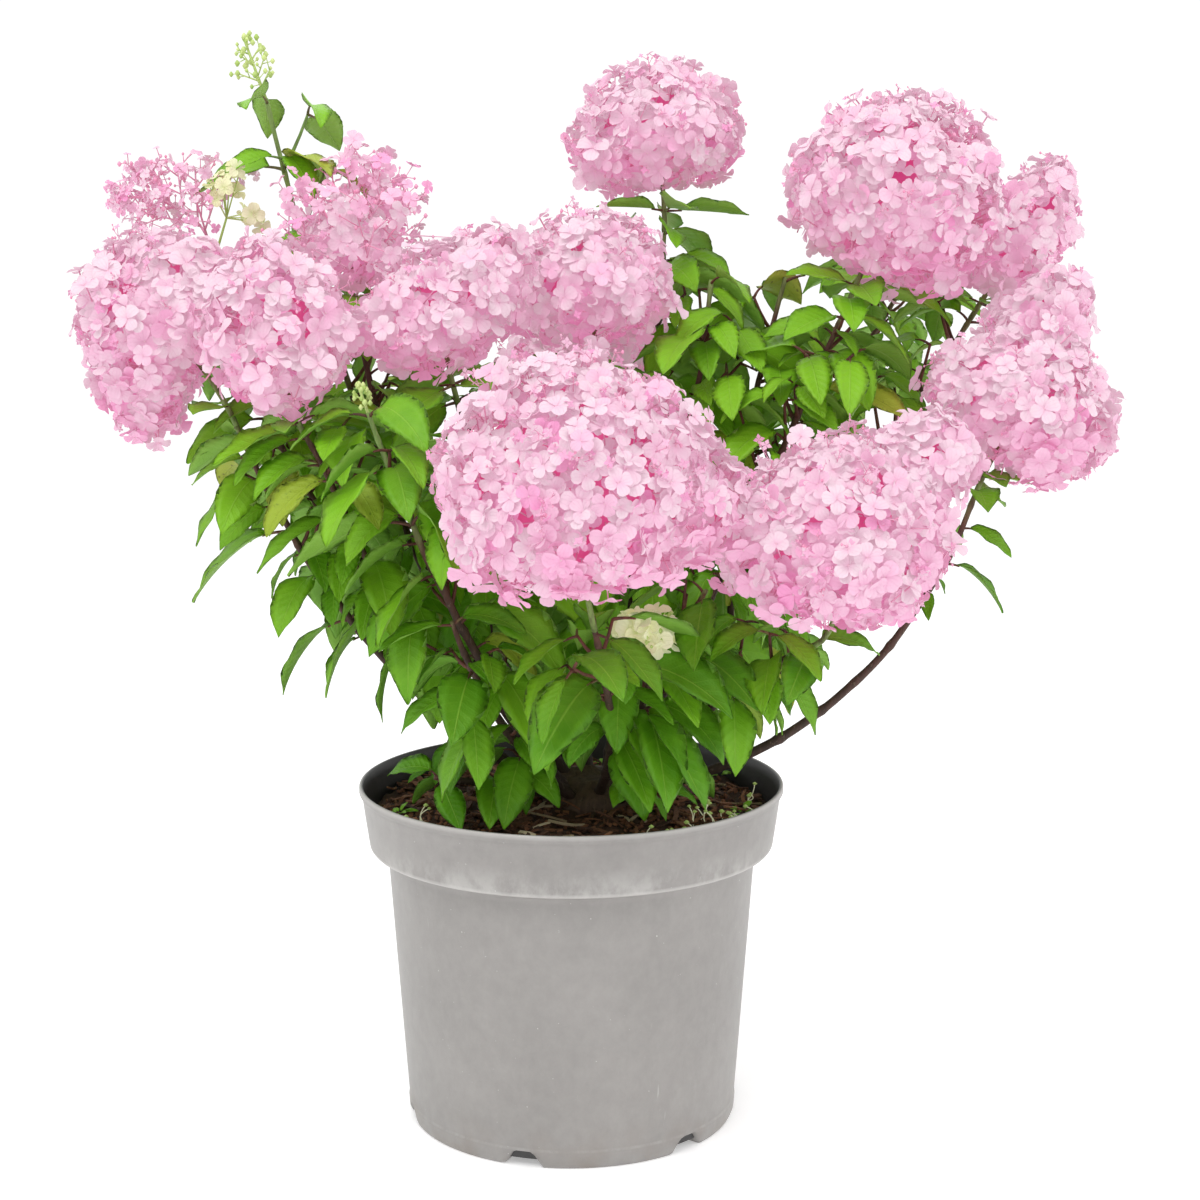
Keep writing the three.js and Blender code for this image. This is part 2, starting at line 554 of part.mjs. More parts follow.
for (const shoot of SHOOTS) {
  shoot.leaves = [];
  shoot.twigs = [];
  shoot.tip = vec(...shoot.tip);
  if (shoot.fork) {
    const parent = byName.get(shoot.fork[0]);
    shoot.foot = parent.curve.getPoint(shoot.fork[1]);
  } else {
    const [azimuth, out] = shoot.foot;
    shoot.foot = vec(STOOL.x + out * Math.cos(radians(azimuth)), STOOL.y + out * Math.sin(radians(azimuth)),
      STOOL_FOOT + STOOL.height * 0.4);
  }
  shoot.curve = curveOf(shoot.foot, vec(...shoot.via), shoot.tip);
  shoot.radiusAt = shoot.fork ? forkRadius : stemRadius;
  shoot.leafy = shoot.bare ?? 0.16;
  if (shoot.eggs) {
    const first = vec(...shoot.eggs[0].slice(0, 3));
    const eggs = shoot.eggs.map((egg, i) => eggOf(egg, i === 0 ? shoot.tip : first));
    shoot.lobes = { owner: shoot.name, eggs };
    heads.push(shoot.lobes);
  }
}

// Limbs are laid out before any leaf, so that leaves can keep off them.
for (const shoot of SHOOTS) {
  const steps = Math.ceil(shoot.curve.getLength() / 9);
  for (let i = 0; i <= steps; i++) {
    const point = shoot.curve.getPoint(i / steps);
    takenLimbs.push({ owner: shoot.name, point, radius: shoot.radiusAt(i / steps) });
  }
}
SHOOTS.forEach(growFoliage);

const PINK = new THREE.MeshStandardMaterial({ color: 0xf0b4d2, roughness: 0.75, metalness: 0 });
const CREAM = new THREE.MeshStandardMaterial({ color: 0xe2e6b4, roughness: 0.75, metalness: 0 });
const GREEN = new THREE.MeshStandardMaterial({ color: 0x55912a, roughness: 0.6, metalness: 0 });
const BARK = new THREE.MeshStandardMaterial({ color: 0x4a2f22, roughness: 0.85, metalness: 0 });
const PLASTIC = new THREE.MeshStandardMaterial({ color: 0xa8a4a0, roughness: 0.7, metalness: 0 });
const COMPOST = new THREE.MeshStandardMaterial({ color: 0x3b2113, roughness: 0.95, metalness: 0 });

const plant = new THREE.Group();
const placed = [];

const reserved = [];

// Whether two corners of a solid lie so close that its file would weld them into one.
const WELD = 0.006;
const NUDGES = [0, 0.12, -0.17, 0.29];   // how far a part may be moved to join without a sliver
function hasSliver(solid) {
  const mesh = solid.getMesh();
  const corners = [];
  for (let i = 0; i < mesh.numVert; i++) {
    corners.push(vec(...mesh.vertProperties.subarray(i * mesh.numProp, i * mesh.numProp + 3)));
  }
  corners.sort((p, q) => p.x - q.x);
  return corners.some((p, i) => {
    for (let j = i + 1; j < corners.length && corners[j].x - p.x < WELD; j++) {
      if (corners[j].distanceTo(p) < WELD) return true;
    }
    return false;
  });
}

const record = (name, solid) => ({ name, solid, box: solid.boundingBox() });
const boxesMeet = (a, b) => [0, 1, 2].every((k) => a.min[k] < b.max[k] + GAP && a.max[k] > b.min[k] - GAP);

// Adds a piece. A part that comes too near another piece is left off before the rest is joined.
function add(name, material, parts) {
  const near = (part) => {
    const box = part.boundingBox();
    return [...placed, ...reserved].some((other) => other.name !== name && boxesMeet(box, other.box)
      && part.minGap(other.solid, GAP) < GAP * 0.8);
  };
  const kept = [];
  const crosses = (part) => kept.some((other) => other.leaf && part.leaf
    && boxesMeet(part.boundingBox(), other.boundingBox()) && part.minGap(other, 1) === 0);
  let solid = parts[0];
  for (const part of parts.slice(1)) {
    if (near(part) || crosses(part)) continue;
    const whole = (joined) => joined.decompose().length === 1 && !hasSliver(joined);
    const moved = NUDGES.map((step) => part.translate(step, -step / 2, step / 3));
    const fitting = moved.find((trial) => whole(solid.add(trial)));
    if (!fitting) continue;
    kept.push(Object.assign(fitting, { leaf: part.leaf }));
    solid = solid.add(fitting);
  }
  placed.push(record(name, solid));
  const mesh = new THREE.Mesh(toGeometry(solid), material);
  mesh.name = name;
  plant.add(mesh);
}

add('pot', PLASTIC, [potSolid()]);
add('compost', COMPOST, [compostSolid()]);
add('stool', BARK, [stoolSolid()]);

const stoolClear = stoolSolid(GAP * 1.6);
const boughOf = (shoot, extra) => limb(shoot.curve, 0, shoot.leafy, shoot.radiusAt, 5, 3, extra);
for (const shoot of SHOOTS.filter((s) => s.bare)) {
  add('bough_' + shoot.name, BARK, [largestBody(boughOf(shoot, 0).subtract(stoolClear))]);
}

// The point of a limb's straight-edged centre line that is nearest to a point of its curve.
function onCentreLine(shoot, point) {
  let best = point;
  let nearest = Infinity;
  for (let i = 1; i < shoot.rings.length; i++) {
    const edge = new THREE.Line3(shoot.rings[i - 1], shoot.rings[i]);
    const found = edge.closestPointToPoint(point, true, vec(0, 0, 0));
    if (found.distanceTo(point) >= nearest) continue;
    nearest = found.distanceTo(point);
    best = found;
  }
  return nearest < 4 ? best : point;
}

// The leafy part of each shoot: its axis goes on from the bough, or springs from another bough.
function leafyLimb(shoot, extra) {
  const start = shoot.bare ? shareBeyond(shoot.curve, shoot.leafy, GAP) : 0;
  const end = shoot.eggs || shoot.loose ? shareBeyond(shoot.curve, 1, -STALK) : 1;
  const steps = Math.max(2, Math.round(shoot.curve.getLength() * (end - start) / 50));
  const shareOf = (i) => start + (end - start) * i / steps;
  shoot.rings = Array.from({ length: steps + 1 }, (_, i) => shoot.curve.getPoint(shareOf(i)));
  return limb(shoot.curve, start, end, shoot.radiusAt, 4, steps, extra);
}
function leafyAxis(shoot) {
  const axis = leafyLimb(shoot, 0);
  if (!shoot.fork) return shoot.bare ? axis : largestBody(axis.subtract(stoolClear));
  const parent = byName.get(shoot.fork[0]);
  return largestBody(axis.subtract(boughOf(parent, GAP * 1.5)).subtract(leafyLimb(parent, GAP * 1.5)));
}

// A flower head's stalk starts just above the leafy axis and runs on into the head.
for (const shoot of SHOOTS.filter((s) => s.eggs || s.loose)) {
  const share = shareBeyond(shoot.curve, 1, -(STALK - GAP));
  const tangent = shoot.curve.getTangent(share);
  shoot.head = shoot.curve.getPoint(share);
  const into = shoot.loose
    ? shoot.head.clone().addScaledVector(vec(...shoot.loose.lean).normalize(), shoot.loose.reach)
    : shoot.head.clone().lerp(shoot.lobes.eggs[0].centre, 0.9);
  const reach = shoot.head.distanceTo(into);
  shoot.stalk = new THREE.QuadraticBezierCurve3(
    shoot.head, shoot.head.clone().addScaledVector(tangent, reach * 0.35), into);
}
for (const shoot of SHOOTS) {
  shoot.axis = leafyAxis(shoot);
  reserved.push(record('leaves_' + shoot.name, shoot.axis));
}

for (const shoot of SHOOTS.filter((s) => s.eggs || s.loose)) {
  add('flowers_' + shoot.name, shoot.name === 'cream' ? CREAM : PINK, [
    limb(shoot.stalk, 0, 1, (share) => STEM_TIP_RADIUS - (shoot.loose ? 0.6 * share : 0), 4, 3),
    ...(shoot.eggs ? growHead(shoot, shoot.lobes) : []),
    ...(shoot.loose ? growLoose(shoot, shoot.loose) : []),
  ]);
}
for (const shoot of SHOOTS) {
  const twigs = shoot.twigs.map(({ start, end }) =>
    twig(onCentreLine(shoot, start), end.clone().lerp(start, -0.06), 1.5, 1.2));
  const leaves = shoot.leaves.map((leaf) =>
    Object.assign(leafSolid(leaf, onCentreLine(shoot, leaf.root)), { leaf: true }));
  const buds = shoot.bud ? growBud(shoot, shoot.bud) : [];
  add('leaves_' + shoot.name, GREEN, [shoot.axis, ...twigs, ...buds, ...leaves]);
}

export default plant;
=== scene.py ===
# %% [markdown]
# A pink panicle hydrangea in a nursery pot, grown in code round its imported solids.
#
# The plant's shape comes from a rule: stems rise from a woody stool, leaves sit on them in opposite
# pairs, and panicles of four-petalled florets end most of the stems. This file grows the plant once
# more by the same rule and dresses every shoot with finer leaves, florets, stalks and bark.

import math

import bmesh
import bpy
import numpy as np
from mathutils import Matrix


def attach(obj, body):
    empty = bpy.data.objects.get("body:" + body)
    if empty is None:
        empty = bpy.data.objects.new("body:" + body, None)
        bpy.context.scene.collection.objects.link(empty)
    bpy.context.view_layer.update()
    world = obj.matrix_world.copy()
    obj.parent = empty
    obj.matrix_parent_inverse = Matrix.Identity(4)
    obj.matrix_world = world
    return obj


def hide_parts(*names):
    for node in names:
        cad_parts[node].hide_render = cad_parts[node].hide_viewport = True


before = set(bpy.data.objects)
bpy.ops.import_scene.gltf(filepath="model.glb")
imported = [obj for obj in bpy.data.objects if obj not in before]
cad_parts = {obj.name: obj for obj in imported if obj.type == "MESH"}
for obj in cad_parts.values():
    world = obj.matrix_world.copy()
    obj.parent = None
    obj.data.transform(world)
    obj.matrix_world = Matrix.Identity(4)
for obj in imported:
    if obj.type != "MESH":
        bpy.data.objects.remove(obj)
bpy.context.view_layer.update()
MM = 0.001
print("packed solids:", len(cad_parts))

# %% [markdown]
# A plant in its pot is shown best from a little above, and from far enough away that upright lines hardly
# converge. So the camera has a long lens, stands well back and looks down by about ten degrees.

# %% Camera
CAMERA_PLACE = (0.0176, -1.356, 0.553)
CAMERA_PITCH = math.radians(80.34)
CAMERA_LENS, CAMERA_SENSOR = 67.92, 36
camera = bpy.data.objects.new("camera", bpy.data.cameras.new("camera"))
camera.location = CAMERA_PLACE
camera.rotation_euler = (CAMERA_PITCH, 0, 0)
camera.data.lens = CAMERA_LENS
camera.data.sensor_width = CAMERA_SENSOR
scene = bpy.context.scene
scene.collection.objects.link(camera)
scene.camera = camera
print("camera stands", CAMERA_PLACE)

# %% [markdown]
# A finish is a small network of nodes. Every one here reads Object coordinates, the piece's own UV map
# or one of its own numbers, so the pattern stays on the piece wherever the camera goes. What comes out
# of a node can be added to, subtracted from and multiplied, so that a finish reads as arithmetic.

# %% Building a finish
class Value:
    """What comes out of a node; +, - and * each add a node that works out the result."""

    def __init__(self, tree, socket):
        self.tree, self.socket = tree, socket

    def math(self, operation, *others):
        """One step of arithmetic on this value."""
        return wire(self.tree, "Math", dict(enumerate((self, *others))), operation=operation)

    def __add__(self, other):
        return self.math("ADD", other)

    def __sub__(self, other):
        return self.math("SUBTRACT", other)

    def __mul__(self, other):
        return self.math("MULTIPLY", other)


def wire(tree, kind, inputs=None, output=0, **settings):
    """Adds a node, sets its settings, sets or links each of its inputs, and gives one of its outputs."""
    node = tree.nodes.new("ShaderNode" + kind)
    for setting, value in settings.items():
        setattr(node, setting, value)
    for socket, value in (inputs or {}).items():
        if isinstance(value, Value):
            tree.links.new(value.socket, node.inputs[socket])
        else:
            node.inputs[socket].default_value = value
    return Value(tree, node.outputs[output])


def link(value, shader, *sockets):
    """Leads a value into sockets of a shader."""
    for socket in sockets:
        value.tree.links.new(value.socket, shader.inputs[socket])


def new_finish(name, roughness, **sockets):
    """A material with its Principled shader, whose plain numbers are set on the shader's own sockets."""
    material = bpy.data.materials.new(name)
    material.use_nodes = True
    shader = material.node_tree.nodes["Principled BSDF"]
    shader.inputs["Roughness"].default_value = roughness
    for socket, value in sockets.items():
        shader.inputs[socket.replace("_", " ")].default_value = value
    return material, material.node_tree, shader


def number(tree, name):
    """The value of one of the mesh's own numbers."""
    return wire(tree, "Attribute", output="Fac", attribute_name=name)


def own_map(tree):
    """Across and along: the two values of the piece's own UV map."""
    place = wire(tree, "UVMap", uv_map="own")
    return [wire(tree, "SeparateXYZ", {"Vector": place}, axis) for axis in "XY"]


def ramp(value, low, high, to_low=0.0, to_high=1.0):
    """A value carried from one range to another, clamped."""
    return wire(value.tree, "MapRange", {"Value": value, "From Min": low, "From Max": high,
                                         "To Min": to_low, "To Max": to_high})


def mix(share, first, second):
    """A share of the second colour mixed into the first."""
    colours = {socket: colour if isinstance(colour, Value) else (*colour, 1)
               for socket, colour in ((6, first), (7, second))}
    return wire(share.tree, "Mix", {0: share, **colours}, 2, data_type="RGBA")


def noise(tree, scale, detail=3.0, stretch=None, roughness=0.5):
    """Noise on Object coordinates, in metres; a stretch makes it longer along an axis."""
    place = wire(tree, "TexCoord", output="Object")
    if stretch:
        place = wire(tree, "Mapping", {"Vector": place, "Scale": stretch})
    settings = {"Vector": place, "Scale": scale, "Detail": detail, "Roughness": roughness}
    return wire(tree, "TexNoise", settings, "Fac")


def set_bump(shader, height, distance, strength=0.6):
    """A height in metres * distance that tilts the light on the surface."""
    settings = {"Height": height, "Distance": distance, "Strength": strength}
    link(wire(height.tree, "Bump", settings), shader, "Normal")


# %% [markdown]
# A white studio has a bright surrounding and one large soft light above and in front. The surrounding
# looks white to the camera, and shines less on the plant, so that the undersides stay darker.

# %% Studio
WHITE = (1, 1, 1, 1)
SURROUND_SEEN, SURROUND_LIGHT = 1.05, 0.85
FLOOR_HALF, FLOOR_GREY, FLOOR_ROUGHNESS, FLOOR_GLOW = 6, (0.86, 0.86, 0.86, 1), 0.8, 0.32
scene.view_settings.view_transform = "Standard"
world = bpy.data.worlds.new("studio")
scene.world = world
world.use_nodes = True
background = world.node_tree.nodes["Background"]
background.inputs["Color"].default_value = WHITE
seen = wire(world.node_tree, "LightPath", output="Is Camera Ray")
link(ramp(seen, 0, 1, SURROUND_LIGHT, SURROUND_SEEN), background, "Strength")


def soft_light(name, place, aim, size, power):
    """A square area light of `size` metres that looks from its place to the aim."""
    light = bpy.data.lights.new(name, "AREA")
    light.size = size
    light.energy = power
    lamp = bpy.data.objects.new(name, light)
    lamp.location = place
    toward = np.array(aim, float) - np.array(place, float)
    flat = math.hypot(toward[0], toward[1])
    lamp.rotation_euler = (math.atan2(flat, -toward[2]), 0, math.atan2(toward[1], toward[0]) - math.pi / 2)
    scene.collection.objects.link(lamp)


soft_light("light_above", (-0.5, -0.9, 1.9), (0, 0, 0.35), 1.3, 18)
soft_light("light_side", (1.6, -0.7, 1.1), (0, 0, 0.3), 1.2, 7)
soft_light("light_back", (-0.3, 1.6, 1.5), (0, 0, 0.4), 1.2, 6)

floor_mesh = bpy.data.meshes.new("floor")
corners = [(FLOOR_HALF * x, FLOOR_HALF * y, 0) for x, y in ((-1, -1), (1, -1), (1, 1), (-1, 1))]
floor_mesh.from_pydata(corners, [], [(0, 1, 2, 3)])
floor_mesh.materials.append(new_finish("floor_paint", FLOOR_ROUGHNESS, Base_Color=FLOOR_GREY,
                                       Emission_Color=WHITE, Emission_Strength=FLOOR_GLOW)[0])
floor = bpy.data.objects.new("floor", floor_mesh)
scene.collection.objects.link(floor)

# %% [markdown]
# The rule of growth works in millimetres, as the plant's solids do. A random source that gives the
# same numbers from the same seed lets this file grow the very shoots and leaves that the solids have.

# %% A repeatable random source
MASK = 0xFFFFFFFF


def seeded(seed):
    """A function that gives the next number from 0 to 1: the state steps by a fixed odd number, and
    three rounds of shift, multiply and exclusive-or stir its bits."""
    state = [(seed * 7919) & MASK]

    def draw():
        state[0] = (state[0] + 0x6D2B79F5) & MASK
        t = state[0]
        t = ((t ^ (t >> 15)) * (1 | t)) & MASK
        t = ((t + (((t ^ (t >> 7)) * (61 | t)) & MASK)) & MASK) ^ t
        return (t ^ (t >> 14)) / 4294967296

    return draw


# %% [markdown]
# A shoot's limb follows a quadratic Bezier curve from its foot, through a point half way, to its tip.
# Such a curve is cheap to work out, bends one way only, as a young stem does, and is written with
# three points that can be read off a real plant.

# %% Shoots of the plant
# foot: azimuth and distance on the stool; or fork: the shoot it leaves, and where; bare: the share of
# it that is leafless wood; leaf: a leaf's length; seed and fine: seeds of its leaves and of the three
# rounds of finer leaves, None where a round is left out; eggs: x, y, z, radius and half height of the
# lobes of its head; loose: an open panicle; bud: a green tip
SHOOTS = {
    "far_left": dict(foot=(186, 22), via=(-122, -15, 300), tip=(-203, -14, 442), bare=0.48, leaf=72,
        seed=107, fine=(98, 300, 402), eggs=[(-245, -10, 499, 54, 46), (-253, -12, 446, 27, 25)]),
    "left": dict(fork=("far_left", 0.34), via=(-122, -48, 362), tip=(-156, -60, 436), leaf=72, seed=133,
        fine=(81, 228, 489), eggs=[(-165, -64, 491, 41, 50)]),
    "tall_left": dict(foot=(160, 20), via=(-106, 30, 370), tip=(-184, 42, 622), bare=0.4, leaf=55,
        seed=176, fine=(58, None, None), bud=dict(reach=38, spread=15, lean=(-0.35, 0, 1))),
    "left_tip": dict(fork=("tall_left", 0.26), via=(-166, 20, 395), tip=(-221, 32, 548), leaf=57,
        seed=188, fine=(43, 265, 473), loose=dict(reach=66, spread=38, lean=(-1, 0, 0.62))),
    "upper_left": dict(foot=(196, 9), via=(-84, -4, 350), tip=(-130, 6, 504), bare=0.26, leaf=64,
        seed=122, fine=(0, 246, 414), eggs=[(-130, 1, 537, 30, 28)],
        loose=dict(reach=82, spread=66, lean=(0.05, 0, 1))),
    "front_left": dict(foot=(226, 20), via=(-62, -70, 318), tip=(-112, -92, 444), bare=0.3, leaf=78,
        seed=120, fine=(81, 222, 493), bud=dict(reach=16, spread=7)),
    "centre_left": dict(fork=("upper_left", 0.28), via=(-52, -22, 372), tip=(-68, -42, 456), leaf=78,
        seed=133, fine=(13, 289, 437), eggs=[(-76, -44, 499, 43, 37), (-46, -38, 520, 26, 30)]),
    "centre": dict(foot=(120, 8), via=(6, 10, 345), tip=(14, 6, 462), bare=0.3, leaf=74, seed=105,
        fine=(51, 217, 473), eggs=[(14, 6, 515, 49, 43)]),
    "top_centre": dict(foot=(72, 20), via=(44, 44, 372), tip=(58, 68, 556), bare=0.3, leaf=74, seed=141,
        fine=(35, 306, 409), eggs=[(52, 70, 605, 53, 40)]),
    "front": dict(foot=(276, 18), via=(24, -84, 262), tip=(12, -146, 340), bare=0.26, leaf=76, seed=125,
        fine=(59, 283, 433), eggs=[(4, -172, 419, 71, 64), (67, -154, 400, 28, 32)]),
    "centre_right": dict(fork=("top_centre", 0.24), via=(66, 16, 392), tip=(85, 28, 514), leaf=72,
        seed=239, fine=(62, 297, 420)),
    "cream": dict(fork=("front", 0.30), via=(42, -72, 272), tip=(49, -104, 316), leaf=74, seed=240,
        fine=(108, 216, None), loose=dict(reach=30, spread=22, lean=(-0.2, -0.5, 0.7))),
    "right_front": dict(foot=(322, 20), via=(90, -62, 274), tip=(145, -110, 318), bare=0.4, leaf=48,
        seed=125, fine=(64, 260, 409), eggs=[(151, -120, 382, 61, 56), (203, -108, 422, 26, 24)]),
    "top_right": dict(foot=(2, 9), via=(102, -6, 362), tip=(169, -4, 512), bare=0.26, leaf=70, seed=139,
        fine=(18, 217, 447), eggs=[(195, 0, 569, 63, 56)]),
    "right_back": dict(foot=(22, 21), via=(148, 26, 350), tip=(251, 42, 500), bare=0.38, leaf=55,
        seed=107, fine=(109, 238, 438), eggs=[(280, 54, 546, 31, 50)]),
    "far_right": dict(foot=(350, 24), via=(165, -34, 274), tip=(243, -32, 404), bare=0.72, leaf=47,
        seed=285, fine=(17, None, 453), eggs=[(267, -30, 446, 57, 46), (281, -18, 499, 28, 28)]),
    "inner_right": dict(fork=("right_back", 0.28), via=(106, 50, 392), tip=(134, 78, 514), leaf=72,
        seed=132, fine=(73, 301, 480)),
    "back_left": dict(foot=(132, 20), via=(-88, 96, 340), tip=(-184, 140, 442), bare=0.26, leaf=68,
        seed=136, fine=(84, 254, 497), eggs=[(-198, 148, 484, 45, 42)]),
    "back": dict(foot=(98, 21), via=(2, 84, 330), tip=(8, 128, 418), bare=0.26, leaf=78, seed=158,
        fine=(79, 304, 438), eggs=[(9, 136, 463, 50, 43)]),
    "back_right": dict(foot=(47, 21), via=(130, 92, 370), tip=(222, 142, 516), bare=0.34, leaf=70,
        seed=182, fine=(7, 250, 465), eggs=[(236, 150, 560, 46, 42)]),
    "back_right_low": dict(fork=("back_right", 0.26), via=(120, 94, 284), tip=(178, 128, 318), leaf=48,
        seed=218, fine=(96, 280, 421), eggs=[(190, 140, 358, 46, 40)]),
    "low_left": dict(foot=(210, 27), via=(-42, -40, 216), tip=(-80, -58, 226), leaf=46, seed=187,
        fine=(3, 210, 403)),
    "low_right": dict(foot=(300, 25), via=(42, -46, 216), tip=(54, -62, 232), leaf=62, seed=245,
        fine=(22, 222, 499)),
    "inner_left": dict(foot=(240, 24), via=(-40, -62, 260), tip=(-66, -96, 326), leaf=55, seed=178,
        fine=(66, 222, 417)),
    "inner_front": dict(foot=(296, 12), via=(44, -44, 270), tip=(78, -84, 342), leaf=76, seed=140,
        fine=(87, 243, None)),
}
STOOL = dict(x=14, y=-4, radius=31, height=21)
STOOL_FOOT = 196.4
POT_HEIGHT = 210
POT_RIM_RADIUS = 130
COMPOST_TOP = 196
STEM_FOOT_RADIUS, FORK_FOOT_RADIUS, STEM_TIP_RADIUS = 3.4, 2.4, 1.7
UNDER_BARE = 0.16


# %% The curve of a limb
def unit(v):
    """v divided by its own length."""
    return v / np.linalg.norm(v, axis=-1, keepdims=True)


def square_to(axis):
    """Two unit vectors square to an axis: the cross product of up (or +X for an upright axis) with the
    axis, and of the axis with that."""
    up = np.array([0.0, 0.0, 1.0]) if abs(axis[2]) < 0.95 else np.array([1.0, 0.0, 0.0])
    a = unit(np.cross(up, axis))
    return a, unit(np.cross(axis, a))


def sideways(axis, angle):
    """The direction square to an axis at an angle round it: a cos(angle) + b sin(angle)."""
    a, b = square_to(axis)
    return a * math.cos(angle) + b * math.sin(angle)


def curve_points(shoot, share):
    """(1-s)^2 foot + 2 s (1-s) control + s^2 tip, for an array of shares s from 0 to 1."""
    s = np.asarray(share, float)[..., None]
    return (1 - s) ** 2 * shoot["foot"] + 2 * s * (1 - s) * shoot["control"] + s * s * shoot["tip"]


def curve_tangents(shoot, share):
    """The direction between two points of the curve a ten-thousandth before and after each share."""
    low = np.clip(np.asarray(share, float) - 0.0001, 0, 1)
    high = np.clip(np.asarray(share, float) + 0.0001, 0, 1)
    return unit(curve_points(shoot, high) - curve_points(shoot, low))


def limb_radius(shoot, share):
    """The limb's radius falls in a straight line from its foot to its tip."""
    foot = FORK_FOOT_RADIUS if "fork" in shoot else STEM_FOOT_RADIUS
    return foot + (STEM_TIP_RADIUS - foot) * np.asarray(share, float)


for name, shoot in SHOOTS.items():
    shoot["tip"] = np.array(shoot["tip"], float)
    if "fork" in shoot:
        shoot["foot"] = curve_points(SHOOTS[shoot["fork"][0]], shoot["fork"][1])
    else:
        azimuth, out = math.radians(shoot["foot"][0]), shoot["foot"][1]
        x, y = STOOL["x"] + out * math.cos(azimuth), STOOL["y"] + out * math.sin(azimuth)
        shoot["foot"] = np.array([x, y, STOOL_FOOT + STOOL["height"] * 0.4])
    shoot["control"] = 2 * np.array(shoot["via"], float) - 0.5 * (shoot["foot"] + shoot["tip"])
    shoot["leafy"] = shoot.get("bare", UNDER_BARE)
    steps = curve_points(shoot, np.linspace(0, 1, 201))
    shoot["length"] = np.linalg.norm(np.diff(steps, axis=0), axis=1).sum()
print("shoots:", len(SHOOTS), "total length mm:", round(sum(s["length"] for s in SHOOTS.values())))

# %% [markdown]
# A panicle is close to an egg: round, and a little narrower above its middle. Each flower head here is
# one or two such eggs, and how deep a point lies in one tells leaves and florets to keep out of it.

# %% Flower heads as eggs
EGG_TAPER = 0.18


def depth_in(egg, points, margin):
    """Length of (height / half height, distance from axis / radius at that height): 1 on the surface."""
    offset = points - egg["centre"]
    along = offset @ egg["axis"]
    level = np.clip(along / egg["high"], -1, 1)
    out = np.linalg.norm(offset - along[..., None] * egg["axis"], axis=-1)
    across = (egg["across"] + margin) * (1 - EGG_TAPER * level)
    return np.hypot(along / (egg["high"] + margin), out / across)


def in_a_head(points, margin):
    """True for each point that is less than the margin away from a flower head, or in it."""
    return np.any([depth_in(egg, points, margin) < 1 for egg in ALL_LOBES], axis=0)


for shoot in SHOOTS.values():
    start = shoot["tip"]
    shoot["lobes"] = []
    for x, y, z, across, high in shoot.get("eggs", []):
        centre = np.array([x, y, z], float)
        shoot["lobes"].append(dict(centre=centre, axis=unit(centre - start), across=across, high=high))
        start = shoot["lobes"][0]["centre"]
ALL_LOBES = [egg for shoot in SHOOTS.values() for egg in shoot["lobes"]]
print("flower head lobes:", len(ALL_LOBES))

# %% [markdown]
# A leaf lies in an upright plane along two arcs: it sets out from the stem, bends most of the way down
# in its stalk and shoulder, and hangs more straightly to its tip. Two arcs are enough for that, and
# they let any point of any leaf be written down at once.

# %% Points of a leaf
SHOULDER = 0.2
FIRST_BEND = 0.6
LEAF_WIDTH_SHARE = 0.54
PETIOLE, PETIOLE_BLADE = 12, 70


def turned(x, y, angle):
    """x and y turned by an angle: x cos - y sin and x sin + y cos."""
    cos, sin = np.cos(angle), np.sin(angle)
    return x * cos - y * sin, x * sin + y * cos


def arc_step(start, bend, along):
    """Along an arc that bends down: out = (sin start - sin now) / bend and
    up = (cos now - cos start) / bend."""
    now = start - bend * along
    return now, (np.sin(start) - np.sin(now)) / bend, (np.cos(now) - np.cos(start)) / bend


def leaf_points(leaf, along, across=0.0, above=0.0):
    """root + out * heading + up * Z along the two arcs, then across and above in the leaf's rolled frame.
    The leaf's values and the offsets are numbers or arrays that fit together."""
    first = leaf["petiole"] + SHOULDER * leaf["blade"]
    second = leaf["blade"] * (1 - SHOULDER)
    angle, out, up = arc_step(leaf["rise"], FIRST_BEND * leaf["droop"] / first, np.minimum(along, first))
    more = arc_step(angle, (1 - FIRST_BEND) * leaf["droop"] / second, np.maximum(along - first, 0))
    angle, out, up = more[0], out + more[1], up + more[2]
    cos, sin = np.cos(leaf["heading"]), np.sin(leaf["heading"])
    side = np.stack(np.broadcast_arrays(-sin, cos, 0 * angle), -1)
    face = np.stack(np.broadcast_arrays(-np.sin(angle) * cos, -np.sin(angle) * sin, np.cos(angle)), -1)
    face, side = turned(face, side, leaf["roll"][..., None])
    spine = np.stack(np.broadcast_arrays(out * cos, out * sin, up), -1)
    return leaf["root"] + spine + side * np.asarray(across)[..., None] + face * np.asarray(above)[..., None]


# %% [markdown]
# Leaves grow in opposite pairs, each pair a quarter turn from the last. A leaf is kept only where it is
# clear of the compost, of the flower heads, of every limb and of the leaves before it, and one that is
# blocked is turned a little each way first. Older leaves low on a shoot hang more than the young ones.

# %% Where a leaf has room
LEAF_CLEAR, LIMB_CLEAR, OWN_LIMB_CLEAR, HEAD_CLEAR = 6, 5.5, 3, 4
COMPOST_CLEAR, RIM_CLEAR, INSIDE_RIM = 5, 5, 20
LIMB_STEP = 9
SEARCH_REACH = 60
MOST_SAMPLES = 40000
SAMPLE_ALONG = np.array([0.08, 0.28, 0.48, 0.7, 0.97]).repeat(3)
SAMPLE_SIDE = np.array([0.2, 0.42, 0.44, 0.3, 0.05]).repeat(3) * np.tile([-1, 0, 1], 5)


def note_limbs(growth, limbs):
    """Adds limbs (shoot, x, y, z, radius) to the space that is taken."""
    growth["limbs"] += limbs
    growth["limb_own"] = np.array([limb[0] for limb in growth["limbs"]])
    growth["limb_array"] = np.array([limb[1:] for limb in growth["limbs"]])


def note_leaf(growth, samples):
    """Adds a leaf's sample points to the space that is taken."""
    count = growth["leaf_count"]
    growth["leaf_points"][count:count + len(samples)] = samples
    growth["leaf_count"] = count + len(samples)


